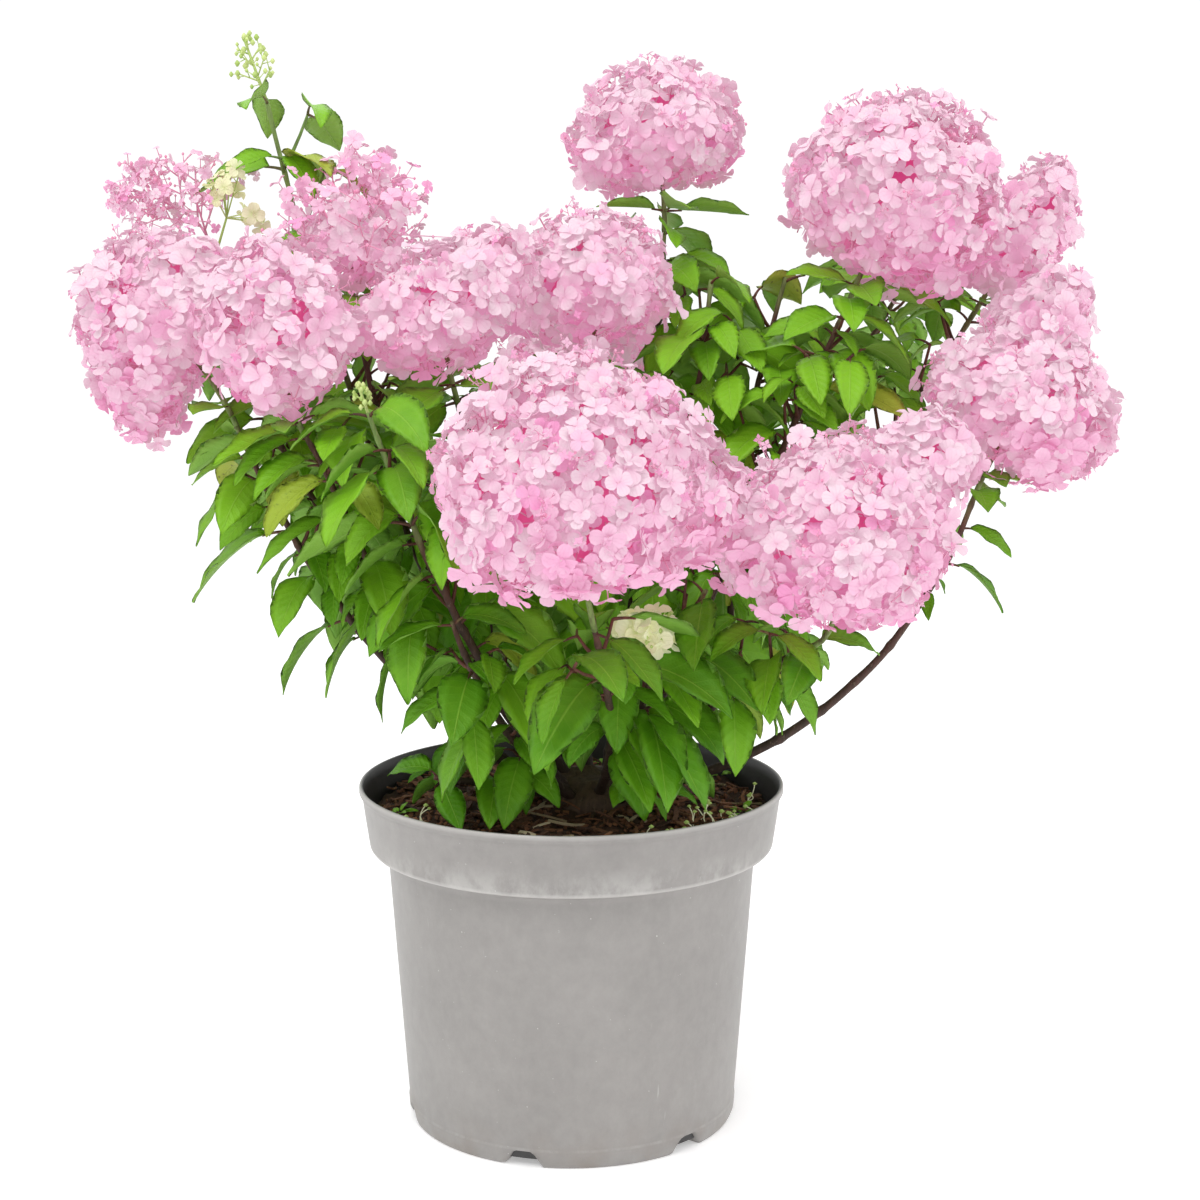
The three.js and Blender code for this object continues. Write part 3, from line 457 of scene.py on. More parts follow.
def new_growth():
    """The space that is taken at first: the middle lines of all limbs, and no leaf yet."""
    growth = dict(limbs=[], leaf_points=np.full((MOST_SAMPLES, 3), 1e6), leaf_count=0,
                  head_clear=HEAD_CLEAR)
    limbs = []
    for name, shoot in SHOOTS.items():
        steps = math.ceil(shoot["length"] / LIMB_STEP)
        share = np.arange(steps + 1) / steps
        for point, radius in zip(curve_points(shoot, share), limb_radius(shoot, share)):
            limbs.append((name, *point, radius))
        shoot["leaves"], shoot["twigs"] = [], []
    note_limbs(growth, limbs)
    return growth


def leaf_samples(leaf):
    """Fifteen points of a leaf: five places along it, each at its two sides and on its middle line."""
    return leaf_points(leaf, leaf["petiole"] + SAMPLE_ALONG * leaf["blade"], SAMPLE_SIDE * leaf["width"])


def blocked(growth, samples, name, leaf_clear):
    """True where any sample point of a leaf is too near something: nearest distances over whole arrays."""
    low = samples[:, 2]
    if (low < COMPOST_TOP + COMPOST_CLEAR).any():
        return True
    over_rim = np.hypot(samples[:, 0], samples[:, 1]) > POT_RIM_RADIUS - INSIDE_RIM
    if ((low < POT_HEIGHT + RIM_CLEAR) & over_rim).any() or in_a_head(samples, growth["head_clear"]).any():
        return True
    centre = samples.mean(0)
    taken = growth["leaf_points"][:growth["leaf_count"]]
    near = taken[((taken - centre) ** 2).sum(1) < SEARCH_REACH ** 2]
    if len(near) and (((samples[:, None] - near) ** 2).sum(2).min() < leaf_clear ** 2):
        return True
    limbs = growth["limb_array"]
    room = np.where(growth["limb_own"] == name, OWN_LIMB_CLEAR, LIMB_CLEAR) + limbs[:, 3]
    near = ((limbs[:, :3] - centre) ** 2).sum(1) < SEARCH_REACH ** 2
    gaps = np.linalg.norm(samples[:, None] - limbs[None, near, :3], axis=2)
    return bool(near.any() and (gaps < room[near]).any())


# %% The rule of growth
NODE_SPACING = 31
STALK = 12
TURNS_TRIED = (0, 24, -24, 48, -48, 70, -70)
LIFT, TWIG_LIFT = math.radians(32), math.radians(28)
LOWEST_RISE, HIGHEST_RISE = -0.4, 0.85
LOW_HANG, TOP_HANG = 86, 42
LAST_PAIR_SIZE = 0.8
TWIG_CHANCE, TWIG_LEAF_SIZE = 0.55, 0.75
TWIG_HEAD_CLEAR, TWIG_LIMB_CLEAR = 8, 10


def grow_leaf(growth, name, root, heading, rise, blade, droop, roll, leaf_clear):
    """Keeps the leaf at the first heading that is free."""
    for turn in TURNS_TRIED:
        leaf = dict(root=root, heading=np.float64(heading + math.radians(turn)), rise=rise, blade=blade,
                    petiole=PETIOLE * blade / PETIOLE_BLADE, roll=np.float64(roll), droop=droop,
                    width=blade * LEAF_WIDTH_SHARE)
        samples = leaf_samples(leaf)
        if not blocked(growth, samples, name, leaf_clear):
            note_leaf(growth, samples)
            SHOOTS[name]["leaves"].append(leaf)
            return


def grow_pair(growth, name, root, tangent, quarter, blade, hang, lift, draw, leaf_clear=LEAF_CLEAR):
    """Two leaves that face each other across the stem; each starts out = cos(lift) sideways + sin(lift)
    along the stem, and its tip points `hang` degrees below level."""
    for side in (0, math.pi):
        azimuth = quarter + side + (draw() - 0.5) * 0.5
        size = blade * (0.84 + 0.3 * draw())
        tip_angle = math.radians(hang + 30 * (draw() - 0.5))
        roll = (draw() - 0.5) * 1.3
        start = sideways(tangent, azimuth) * math.cos(lift) + tangent * math.sin(lift)
        rise = math.asin(min(max(start[2], LOWEST_RISE), HIGHEST_RISE))
        grow_leaf(growth, name, root, math.atan2(start[1], start[0]), rise, size, rise + tip_angle, roll,
                  leaf_clear)


def grow_foliage(growth, name):
    """Pairs at even steps along the leafy part, and at some nodes a short twig with a pair of its own."""
    shoot = SHOOTS[name]
    draw = seeded(shoot["seed"])
    length = shoot["length"]
    end = 1 - (STALK + 2 if "eggs" in shoot or "loose" in shoot else 2) / length
    count = max(2, math.floor(length * (end - shoot["leafy"]) / NODE_SPACING + 0.5))
    first = draw() * math.pi
    for i in range(count):
        part = (i + 0.75) / (count - 0.25)
        share = shoot["leafy"] + (end - shoot["leafy"]) * part
        size = shoot["leaf"] * (LAST_PAIR_SIZE if i == count - 1 else 1)
        hang = LOW_HANG + (TOP_HANG - LOW_HANG) * part
        point, tangent = curve_points(shoot, share), curve_tangents(shoot, share)
        quarter = first + i * math.pi / 2
        grow_pair(growth, name, point, tangent, quarter, size, hang, LIFT, draw)
        sprouts = draw() < TWIG_CHANCE
        angle = quarter + math.pi / 4 + draw()
        reach = 30 + 20 * draw()
        if not sprouts or i > count - 2:
            continue
        aim = unit(sideways(tangent, angle) + tangent * 0.9 + np.array([0, 0, 0.3]))
        tip = point + aim * reach
        others = growth["limb_own"] != name
        gaps = np.linalg.norm(growth["limb_array"][others, :3] - tip, axis=1)
        if in_a_head(tip, TWIG_HEAD_CLEAR) or (gaps < TWIG_LIMB_CLEAR).any():
            continue
        shoot["twigs"].append((point, tip))
        note_limbs(growth, [(name, *tip, 1.0)])
        grow_pair(growth, name, tip, aim, angle, shoot["leaf"] * TWIG_LEAF_SIZE, hang, TWIG_LIFT, draw)


growth = new_growth()
for name in SHOOTS:
    grow_foliage(growth, name)
print("leaves of the solids:", sum(len(s["leaves"]) for s in SHOOTS.values()))

# %% [markdown]
# Thousands of petals are one mesh each time: all corners are worked out as one array, and handed to
# Blender in one go. A piece made of parts in their own colours gets a number per corner instead of a
# material per part, and the material mixes its colours by that number.

# %% From arrays to a piece
def joined(parts):
    """Parts are rows of arrays: this joins the first arrays of all rows, then the second, and so on."""
    return [np.concatenate(column) for column in zip(*parts)]


def make_piece(name, points, faces, materials, replaces=(), uv=None, fields=None, face_material=None,
               smooth=True):
    """A mesh object in metres from points in millimetres, with faces given as arrays of equal-sided rows.
    A field with one number for each part gives it to all corners of the part, and the UV of one part
    serves for all parts."""
    points = points.reshape(-1, 3)
    mesh = bpy.data.meshes.new(name)
    sizes = np.concatenate([np.full(len(face), face.shape[1]) for face in faces])
    corners = np.concatenate([face.ravel() for face in faces]).astype(np.int32)
    mesh.vertices.add(len(points))
    mesh.vertices.foreach_set("co", (points * MM).astype(np.float32).ravel())
    mesh.loops.add(len(corners))
    mesh.loops.foreach_set("vertex_index", corners)
    mesh.polygons.add(len(sizes))
    mesh.polygons.foreach_set("loop_start", np.concatenate([[0], np.cumsum(sizes)[:-1]]).astype(np.int32))
    mesh.polygons.foreach_set("use_smooth", np.full(len(sizes), smooth))
    if face_material is not None:
        mesh.polygons.foreach_set("material_index", face_material.astype(np.int32))
    if uv is not None:
        uv = np.atleast_2d(uv)
        layer = mesh.uv_layers.new(name="own")
        layer.uv.foreach_set("vector", uv[corners % len(uv)].astype(np.float32).ravel())
    for field, values in (fields or {}).items():
        values = np.asarray(values, float).ravel()
        values = np.repeat(values, len(points) // len(values))
        attribute = mesh.attributes.new(field, "FLOAT", "POINT")
        attribute.data.foreach_set("value", values.astype(np.float32))
    mesh.update(calc_edges=True)
    for material in materials:
        mesh.materials.append(material)
    piece = bpy.data.objects.new(name, mesh)
    scene.collection.objects.link(piece)
    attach(piece, "root")
    if replaces:
        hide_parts(*replaces)
    print(f"{name}: {len(sizes)} faces, {int((sizes - 2).sum())} triangles")
    return piece


def grid_quads(rows, columns, closed=False):
    """Corner numbers of the quads of a grid; with `closed` the last column joins the first."""
    across = np.arange(columns if closed else columns - 1)
    along = np.arange(rows - 1)[:, None] * columns
    right = (across + 1) % columns
    return np.stack([along + across, along + right, along + columns + right, along + columns + across],
                    -1).reshape(-1, 4)


def turned_faces(rows, columns, flip=False):
    """Faces of a turned shape: the quads of a closed grid and a face over each end."""
    first = np.arange(columns)
    faces = [grid_quads(rows, columns, True), first[None, ::-1], first[None] + (rows - 1) * columns]
    return [face[:, ::-1] for face in faces] if flip else faces


def repeat_faces(faces, count, step):
    """The same faces for `count` copies whose corners follow one another `step` apart."""
    return [(face[None] + (np.arange(count) * step)[:, None, None]).reshape(-1, face.shape[1])
            for face in faces]


def circle(count):
    """Even angles round a full turn."""
    return np.arange(count) / count * 2 * np.pi


def tubes(paths, radii, sides):
    """Round tubes along paths (N, S, 3): point = path + radius * (cos angle * a + sin angle * b), where
    a is square to the path and to one direction per tube. Both ends are closed by a face."""
    paths = np.asarray(paths, float)
    count, steps = paths.shape[:2]
    tangents = unit(np.gradient(paths, axis=1) + 1e-12)
    along = paths[:, -1] - paths[:, 0]
    least = np.eye(3)[np.abs(along).argmin(1)]
    reference = unit(np.cross(along, least))[:, None]
    a = unit(np.cross(np.broadcast_to(reference, tangents.shape), tangents))
    b = np.cross(tangents, a)
    angle = circle(sides)[:, None]
    ring = np.cos(angle) * a[:, :, None] + np.sin(angle) * b[:, :, None]
    radii = np.broadcast_to(np.asarray(radii, float), (count, steps))[..., None, None]
    return paths[:, :, None] + radii * ring, repeat_faces(turned_faces(steps, sides), count, steps * sides)


LATTICE = 32


def lattice_noise(points, size, seed):
    """Random numbers on a lattice of `size` millimetres, blended by 3t^2 - 2t^3 between its corners."""
    table = np.random.default_rng(seed).random((LATTICE, LATTICE, LATTICE))
    place = points / size
    cell = np.floor(place).astype(int)
    t = place - cell
    t = t * t * (3 - 2 * t)
    total = np.zeros(points.shape[:-1])
    for corner in np.ndindex(2, 2, 2):
        weight = np.prod([t[..., k] if corner[k] else 1 - t[..., k] for k in range(3)], axis=0)
        i, j, k = ((cell[..., n] + corner[n]) % LATTICE for n in range(3))
        total += weight * table[i, j, k]
    return total


# %% [markdown]
# A hydrangea leaf is broad below its middle, drawn out to a point and toothed all round. Each one here
# has a keel, four strips across and a tooth on every step of its edge; the underside is a second skin
# that shares the edge, so the leaf is a closed body with a paler back.

# %% Leaves as slim as they grow
SMALL_LEAF = 60
SHORTER, SLIMMER = 0.82, 0.72
SMALL_SHORTER, SMALL_SLIMMER = 1.0, 0.9
growth["leaf_count"] = 0
for shoot in SHOOTS.values():
    small = shoot["leaf"] < SMALL_LEAF
    for leaf in shoot["leaves"]:
        leaf["blade"] *= SMALL_SHORTER if small else SHORTER
        leaf["width"] *= SMALL_SLIMMER if small else SLIMMER
        note_leaf(growth, leaf_samples(leaf))

# %% More leaves on finer twigs
FINE_CLEAR, FINE_HEAD_CLEAR = 4.2, -6
FINE_SIZES = (0.68, 0.56, 0.46)
FINE_SLIMMER = 0.88
FINE_TWIG_CHANCE, FINE_TWIG_HEAD_CLEAR, FINE_TWIG_LIFT = 0.5, 6, 12
BELOW_HEAD = 16


def grow_finer(growth, name, fine_seed, fine_size):
    """The same rule between the nodes: smaller pairs half way, half of them on a short twig."""
    shoot = SHOOTS[name]
    first = len(shoot["leaves"])
    draw = seeded(fine_seed)
    count = max(2, round(shoot["length"] * (1 - shoot["leafy"]) / NODE_SPACING))
    for i in range(count):
        part = (i + 0.25 + 0.3 * draw()) / count
        share = shoot["leafy"] + (1 - shoot["leafy"] - BELOW_HEAD / shoot["length"]) * part
        hang = LOW_HANG + (TOP_HANG - LOW_HANG) * part
        point, tangent = curve_points(shoot, share), curve_tangents(shoot, share)
        quarter = draw() * math.pi
        reach = 12 + 22 * draw()
        size = shoot["leaf"] * fine_size * (0.75 + 0.4 * draw())
        if draw() < FINE_TWIG_CHANCE:
            grow_pair(growth, name, point, tangent, quarter, size, hang, LIFT, draw, FINE_CLEAR)
            continue
        aim = unit(sideways(tangent, quarter) + tangent * 0.8)
        tip = point + aim * reach
        if in_a_head(tip, FINE_TWIG_HEAD_CLEAR) or tip[2] < COMPOST_TOP + FINE_TWIG_LIFT:
            continue
        before = len(shoot["leaves"])
        grow_pair(growth, name, tip, aim, quarter, size, hang, TWIG_LIFT, draw, FINE_CLEAR)
        if len(shoot["leaves"]) > before:
            shoot["twigs"].append((point, tip))
    for leaf in shoot["leaves"][first:]:
        leaf["width"] *= FINE_SLIMMER


# %% Leaves close under the high heads
COLLAR_FROM = 400
COLLAR_CLEAR, COLLAR_SIZE, COLLAR_HANG, COLLAR_LIFT = -4, 0.6, 16, math.radians(6)
COLLAR_QUARTERS = (0.1, 0.1 + math.pi / 2)
COLLAR_SEED = 40


def grow_collar(growth, name):
    """Two crossed pairs of small leaves close under the flower head, held out nearly level: at the
    highest point of the shoot that is clear of all heads."""
    shoot = SHOOTS[name]
    shares = np.linspace(0.999, 0.8, 61)
    share = shares[(~in_a_head(curve_points(shoot, shares), COLLAR_CLEAR)).argmax()]
    point, tangent = curve_points(shoot, share), curve_tangents(shoot, share)
    draw = seeded(shoot["seed"] + COLLAR_SEED)
    for quarter in COLLAR_QUARTERS:
        grow_pair(growth, name, point, tangent, quarter, shoot["leaf"] * COLLAR_SIZE, COLLAR_HANG,
                  COLLAR_LIFT, draw, FINE_CLEAR)


growth["head_clear"] = FINE_HEAD_CLEAR
for name, shoot in SHOOTS.items():
    if shoot["lobes"] and shoot["tip"][2] > COLLAR_FROM:
        before = len(shoot["leaves"])
        grow_collar(growth, name)
        print("leaves under the head of", name, len(shoot["leaves"]) - before)
for k, fine_size in enumerate(FINE_SIZES):
    for name, shoot in SHOOTS.items():
        if shoot["fine"][k] is not None:
            grow_finer(growth, name, shoot["fine"][k], fine_size)
LEAVES = [leaf for shoot in SHOOTS.values() for leaf in shoot["leaves"]]
print("leaves now:", len(LEAVES))

# %% Leaf blades
LEAF_STEPS = 9
LEAF_FOLD = 0.34
WAVE_HEIGHT, WAVES_ALONG, WAVES_ACROSS = 0.035, 15, 1.4
TOOTH, TOOTH_PLACE = 0.028, 0.72
WIDEST_POWERS = (0.70, 1.0)
LEAST_WIDTH = 0.02
SKIN = 0.22
UPPER_ACROSS = np.array([-1, -0.5, 0, 0.5, 1])
LOWER_ACROSS = np.array([-0.5, 0, 0.5])
TEETH_ACROSS = np.array([-1.0, 1.0])


def blade_half_width(v):
    """v^0.7 * (1 - v), divided by its greatest value: broad below the middle, pointed at the tip."""
    low, high = WIDEST_POWERS
    peak = low / (low + high)
    return v ** low * (1 - v) ** high / (peak ** low * (1 - peak) ** high)


def stacked(leaves, extra_axes):
    """The leaves' values as arrays with one leaf per row and room for the axes of a grid."""
    shape = (-1,) + (1,) * extra_axes
    leaf = {key: np.array([one[key] for one in leaves], float).reshape(shape)
            for key in ("heading", "rise", "blade", "petiole", "roll", "droop", "width")}
    leaf["root"] = np.array([one["root"] for one in leaves], float).reshape(shape + (3,))
    return leaf


def blade_shapes(leaves, seed):
    """Corners of all leaves. Across: u * half width; above: fold * |u| and a wave that grows to the edge,
    less the skin's thickness on the lower side. Teeth stand half a step on, a little further out."""
    draw = np.random.default_rng(seed)
    v = np.linspace(0.004, 0.996, LEAF_STEPS + 1)
    tooth_v = v[:-1] + TOOTH_PLACE * np.diff(v)
    leaf = stacked(leaves, 2)
    count = len(leaves)
    wave = draw.random((count, 1, 1)) * 6.3
    twist = (draw.random((count, 1, 1)) - 0.5) * 0.7
    curl = (draw.random((count, 1, 1)) - 0.35) * 0.5

    def place(along_share, across_share, widen=1.0, skin=0.0):
        half = np.maximum(blade_half_width(along_share), LEAST_WIDTH) * leaf["width"] / 2
        side = across_share * half * widen
        rise = (LEAF_FOLD * np.abs(side) + WAVE_HEIGHT * leaf["width"] * across_share ** 2
                * np.sin(along_share * WAVES_ALONG + wave + across_share * WAVES_ACROSS)
                + twist * side * (along_share - 0.35) - curl * side ** 2 / leaf["width"])
        along = leaf["petiole"] + along_share * leaf["blade"]
        return leaf_points(leaf, along, side, rise - skin).reshape(count, -1, 3)

    grids = ((v, UPPER_ACROSS, ()), (v, LOWER_ACROSS, (1.0, SKIN)), (tooth_v, TEETH_ACROSS, (1 + TOOTH,)))
    points = [place(along[:, None], across[None, :], *extra) for along, across, extra in grids]
    own_uv = [np.stack(np.broadcast_arrays(across * 0.5 + 0.5, along[:, None]), -1).reshape(-1, 2)
              for along, across, _ in grids]
    return np.concatenate(points, axis=1), np.concatenate(own_uv)


def blade_faces(count):
    """Strips of quads inside, five-sided strips along the toothed edges, upper skin first; and for each
    face the number of its skin."""
    rows = LEAF_STEPS + 1
    k = np.arange(LEAF_STEPS)
    up = lambda row, column: row * 5 + column
    low = lambda row, column: rows * 5 + row * 3 + column
    tooth = lambda row, side: rows * 8 + row * 2 + side
    strip = lambda *corners: np.stack(corners, -1)
    upper = [strip(up(k, c), up(k, c + 1), up(k + 1, c + 1), up(k + 1, c)) for c in (1, 2)]
    upper += [strip(up(k, 1), up(k + 1, 1), up(k + 1, 0), tooth(k, 0), up(k, 0)),
              strip(up(k, 3), up(k, 4), tooth(k, 1), up(k + 1, 4), up(k + 1, 3))]
    lower = [strip(low(k, c), low(k + 1, c), low(k + 1, c + 1), low(k, c + 1)) for c in (0, 1)]
    lower += [strip(low(k, 0), up(k, 0), tooth(k, 0), up(k + 1, 0), low(k + 1, 0)),
              strip(low(k, 2), low(k + 1, 2), up(k + 1, 4), tooth(k, 1), up(k, 4)),
              np.array([[up(0, 0)] + [low(0, c) for c in range(3)] + [up(0, c) for c in (4, 3, 2, 1)]]),
              np.array([[up(rows - 1, c) for c in range(5)] + [low(rows - 1, c) for c in (2, 1, 0)]])]
    skins = np.repeat([0, 1], [count * sum(map(len, skin)) for skin in (upper, lower)])
    return repeat_faces(upper + lower, count, rows * 8 + LEAF_STEPS * 2), skins


# %% [markdown]
# Leaf green isn't one colour: young leaves at the top are lighter, some turn yellow, the veins and the
# margin are pale, and the blade is quilted between its side veins. Each leaf gets a tint of its own and
# the veins are drawn from its UV map, with u across and v from stalk to tip.

# %% Leaf finishes
# The leaves glow a little in their own colour: painted light that lifts their shade in place of light
# through the blade.
LEAF_PAINTED_GLOW, LEAF_SHINE = 0.07, 0.3
SIDE_VEINS, VEIN_SLANT = 9.0, 0.2
MIDRIB_SHOWN, SIDE_VEIN_SHOWN, MARGIN_SHOWN = 0.5, 0.12, 0.3
YELLOWED, SPOTTED = (0.44, 0.42, 0.05), (0.16, 0.07, 0.015)


def leaf_finish(name, dark, light, vein, roughness, relief):
    """Green between dark and light by the leaf's tint, with veins, pale margin, yellowing and quilting, and
    a glow in the same colour: painted light that lifts the leaf's shade.
    """
    material, tree, shader = new_finish(name, roughness, Emission_Strength=LEAF_PAINTED_GLOW,
                                        Specular_IOR_Level=LEAF_SHINE)
    across, along = own_map(tree)
    out = (across - 0.5).math("ABSOLUTE") * 2.0
    ridge = ((along - out * VEIN_SLANT) * SIDE_VEINS).math("PINGPONG", 0.5)
    side_vein = ramp(ridge, 0.06, 0.01) * SIDE_VEIN_SHOWN
    veins = (ramp(out, 0.055, 0.015) * MIDRIB_SHOWN).math("MAXIMUM", side_vein)
    margin = ramp(out, 0.95, 1.0) * MARGIN_SHOWN
    tint = number(tree, "tint") + (noise(tree, 90, 4) - 0.5) * 0.7
    green = mix(veins.math("MAXIMUM", margin), mix(ramp(tint, 0, 1), dark, light), vein)
    spots = ramp(noise(tree, 260, 2), 0.62, 0.72)
    colour = mix(number(tree, "age"), green, mix(spots, YELLOWED, SPOTTED))
    # the emission takes the same colour: painted light
    link(colour, shader, "Base Color", "Emission Color")
    quilt = ridge * 0.7 - veins
    set_bump(shader, quilt * relief + noise(tree, 900, 3) * 0.5, 0.0007, 0.8)
    return material


LEAF_UPPER = leaf_finish("leaf_upper", (0.082, 0.255, 0.006), (0.192, 0.435, 0.013), (0.26, 0.50, 0.05),
                         0.5, 0.8)
LEAF_LOWER = leaf_finish("leaf_lower", (0.120, 0.290, 0.024), (0.235, 0.440, 0.060), (0.34, 0.52, 0.14),
                         0.62, -0.8)

# %% Foliage pieces
YELLOWING = 0.03
DARK_BELOW, LIGHTER_OVER = 300, 330
LEAF_NODES = ["leaves_" + name for name in SHOOTS]


def leaf_piece(name, leaves, seed, nodes, tint, age):
    """One piece of many leaves, with a green skin above and a paler one below."""
    points, own_uv = blade_shapes(leaves, seed)
    faces, skins = blade_faces(len(leaves))
    make_piece(name, points, faces, [LEAF_UPPER, LEAF_LOWER], nodes, own_uv,
               dict(tint=tint, age=age), skins)


def leaf_numbers(leaves, seed):
    """Tint rises with height and varies from leaf to leaf; a few leaves in a hundred have yellowed."""
    draw = np.random.default_rng(seed)
    height = np.array([leaf["root"][2] for leaf in leaves])
    tint = np.clip((height - DARK_BELOW) / LIGHTER_OVER + draw.random(len(leaves)) * 0.8, 0, 1)
    age = np.where(draw.random(len(leaves)) < YELLOWING, 0.2 + 0.5 * draw.random(len(leaves)), 0)
    return tint, age


for piece_name, first, last in (("foliage_left", 0, 9), ("foliage_right", 9, 17), ("foliage_back", 17, 25)):
    leaves = [leaf for shoot in list(SHOOTS.values())[first:last] for leaf in shoot["leaves"]]
    print(piece_name, "leaves:", len(leaves))
    leaf_piece(piece_name, leaves, last - first, LEAF_NODES[first:last], *leaf_numbers(leaves, len(leaves)))

# %% [markdown]
# The wood has three ages: a knobbly stool at the foot, brown canes that rise from it, and young stems
# that run from red-brown to green near the flowers. A cane is a tube that swells a little where leaves
# sat, and one number per corner tells the finish how young the wood is.

# %% Wood finishes
FLECK, CREVICE_SHADE = (0.30, 0.22, 0.15), (0.012, 0.007, 0.005)


def wood_finish(name, old, young, green, relief):
    """Brown streaks along the stem, from old bark through red-brown to green by the number `young`, with
    painted shade where the streaks run low.
    """
    material, tree, shader = new_finish(name, 0.7)
    streaks = noise(tree, 260, 5, (1, 1, 0.16), 0.65)
    flecks = ramp(noise(tree, 520, 2, (1, 1, 0.5)), 0.62, 0.72)
    age = number(tree, "young") + (streaks - 0.5) * 0.5
    colour = mix(ramp(age, 0.6, 1.0), mix(ramp(age, 0.1, 0.55), old, young), green)
    colour = mix(flecks * 0.35, colour, FLECK)
    # painted shade: near-black where the streaks run low, in the bark's crevices
    link(mix(ramp(streaks, 0.55, 0.3, 0, 0.55), colour, CREVICE_SHADE), shader, "Base Color")
    set_bump(shader, streaks + flecks * 0.4, relief, 0.9)
    return material


BARK = wood_finish("cane_bark", (0.055, 0.030, 0.020), (0.115, 0.042, 0.030), (0.22, 0.33, 0.09), 0.0009)
STOOL_BARK = wood_finish("stool_bark", (0.125, 0.072, 0.045), (0.15, 0.08, 0.05), (0.2, 0.2, 0.1), 0.0014)
STALK_SKIN = wood_finish("young_stem", (0.090, 0.035, 0.022), (0.150, 0.045, 0.030), (0.15, 0.26, 0.05),
                         0.0002)

# %% Canes and leafy stems
CANE_STEPS, CANE_SIDES = 48, 12
SWELLING, SWELLING_REACH = 0.28, 2.2
WOBBLE, WOBBLE_SIZE, WOBBLE_FADE = 1.6, 26, 8
GREEN_FROM_SHARE, BUD_GREEN_FROM_SHARE = 0.86, 0.62


def swelling(share, length, seed):
    """1 + a bump exp(-(distance / 2.2 mm)^2) at each node, where distance is to the nearest node."""
    offset = (share * length + seed * 7) % NODE_SPACING - NODE_SPACING / 2
    return 1 + SWELLING * np.exp(-(offset / SWELLING_REACH) ** 2)


def stem_path(shoot, start, end):
    """Points, radii and youth of one shoot's limb between two shares of its curve."""
    share = np.linspace(start, end, CANE_STEPS)
    path = curve_points(shoot, share)
    wobble = np.stack([lattice_noise(path + k * 97, WOBBLE_SIZE, shoot["seed"] + k) - 0.5
                       for k in range(3)], -1)
    fade = np.minimum(1, np.minimum(share * WOBBLE_FADE, (1 - share) * WOBBLE_FADE))[:, None]
    green_from = BUD_GREEN_FROM_SHARE if "bud" in shoot else GREEN_FROM_SHARE
    youth = np.clip((path[:, 2] - 200) / 400, 0, 0.5) + 0.6 * np.clip((share - green_from) / 0.2, 0, 1)
    radius = limb_radius(shoot, share) * swelling(share, shoot["length"], shoot["seed"]) * (1 - 0.2 * youth)
    return path + wobble * fade * WOBBLE, radius, youth


def tube_piece(name, parts, sides, material, nodes):
    """One piece of many tubes (path, radii, youth), with their youth per corner."""
    paths, radii, youth = (np.array(column) for column in zip(*parts))
    points, faces = tubes(paths, radii, sides)
    make_piece(name, points, faces, [material], nodes, fields=dict(young=youth))


canes, stems = [], []
for shoot in SHOOTS.values():
    end = 1 - STALK / shoot["length"] if "eggs" in shoot or "loose" in shoot else 1
    if "bare" in shoot:
        canes.append(stem_path(shoot, 0, shoot["leafy"]))
    stems.append(stem_path(shoot, shoot["leafy"] if "bare" in shoot else 0, end))
BOUGH_NODES = ["bough_" + name for name, shoot in SHOOTS.items() if "bare" in shoot]
tube_piece("canes", canes, CANE_SIDES, BARK, BOUGH_NODES)
tube_piece("leafy_stems", stems, CANE_SIDES, BARK, LEAF_NODES)

# %% Twigs and leaf stalks
GREEN_FROM, GREEN_BY = 500, 80
TWIG_RADIUS, TWIG_TAPER, TWIG_SAG, TWIG_YOUTH = 1.35, 0.5, 2.0, 0.55
STALK_RADIUS, STALK_TAPER, STALK_UNDER, STALK_INTO_BLADE = 1.15, 0.45, 0.45, 0.06


def greener(height):
    """0.5 * (height - 500 mm) / 80 mm, from 0 to 0.5: the youngest stalks at the top are green."""
    return 0.5 * np.clip((height - GREEN_FROM) / GREEN_BY, 0, 1)


share = np.linspace(0, 1, 4)
sag = np.array([0, 0, -TWIG_SAG]) * np.sin(share * np.pi)[:, None]
twigs = [(start + (end - start) * share[:, None] + sag, TWIG_RADIUS - TWIG_TAPER * share,
          np.full(4, TWIG_YOUTH + greener(end[2])))
         for shoot in SHOOTS.values() for start, end in shoot["twigs"]]
tube_piece("twigs", twigs, 7, STALK_SKIN, LEAF_NODES)

leaf = stacked(LEAVES, 1)
share = np.linspace(0, 1, 5)[None]
paths = leaf_points(leaf, share * (leaf["petiole"] + STALK_INTO_BLADE * leaf["blade"]), 0 * share,
                    0 * share - STALK_UNDER)
radii = (STALK_RADIUS - STALK_TAPER * share) * np.sqrt(leaf["blade"] / 60)
youth = 0.2 + 0.5 * ((leaf["heading"] * 7) % 1) + greener(leaf["root"][..., 2]) + 0 * share
tube_piece("leaf_stalks", list(zip(paths, radii, youth)), 6, STALK_SKIN, LEAF_NODES)

# %% [markdown]
# The stool is a low mound of old wood. It is a turned shape whose radius is pushed in and out by two
# sizes of noise, so that knuckles show where canes spring from it.

# %% Stool
STOOL_ROWS, STOOL_COLUMNS = 26, 60
STOOL_SUNK = 3
row = np.linspace(0, 1, STOOL_ROWS)[:, None] * np.pi / 2
turn = circle(STOOL_COLUMNS)
stool_radius = STOOL["radius"] * np.cos(row) ** 0.75
mound = np.stack(np.broadcast_arrays(stool_radius * np.cos(turn), stool_radius * np.sin(turn),
                                     STOOL["height"] * np.sin(row)), -1)
knuckles = lattice_noise(mound, 11, 3) - 0.5 + 0.4 * (lattice_noise(mound, 3.5, 4) - 0.5)
mound[..., :2] *= (1 + 0.2 * knuckles)[..., None]
mound[..., 2] *= 1 + 0.25 * (knuckles + 0.1)
mound += np.array([STOOL["x"], STOOL["y"], STOOL_FOOT])
mound[0, :, 2] = STOOL_FOOT - STOOL_SUNK
make_piece("woody_stool", mound, turned_faces(STOOL_ROWS, STOOL_COLUMNS), [STOOL_BARK], ["stool"],
           fields=dict(young=0))

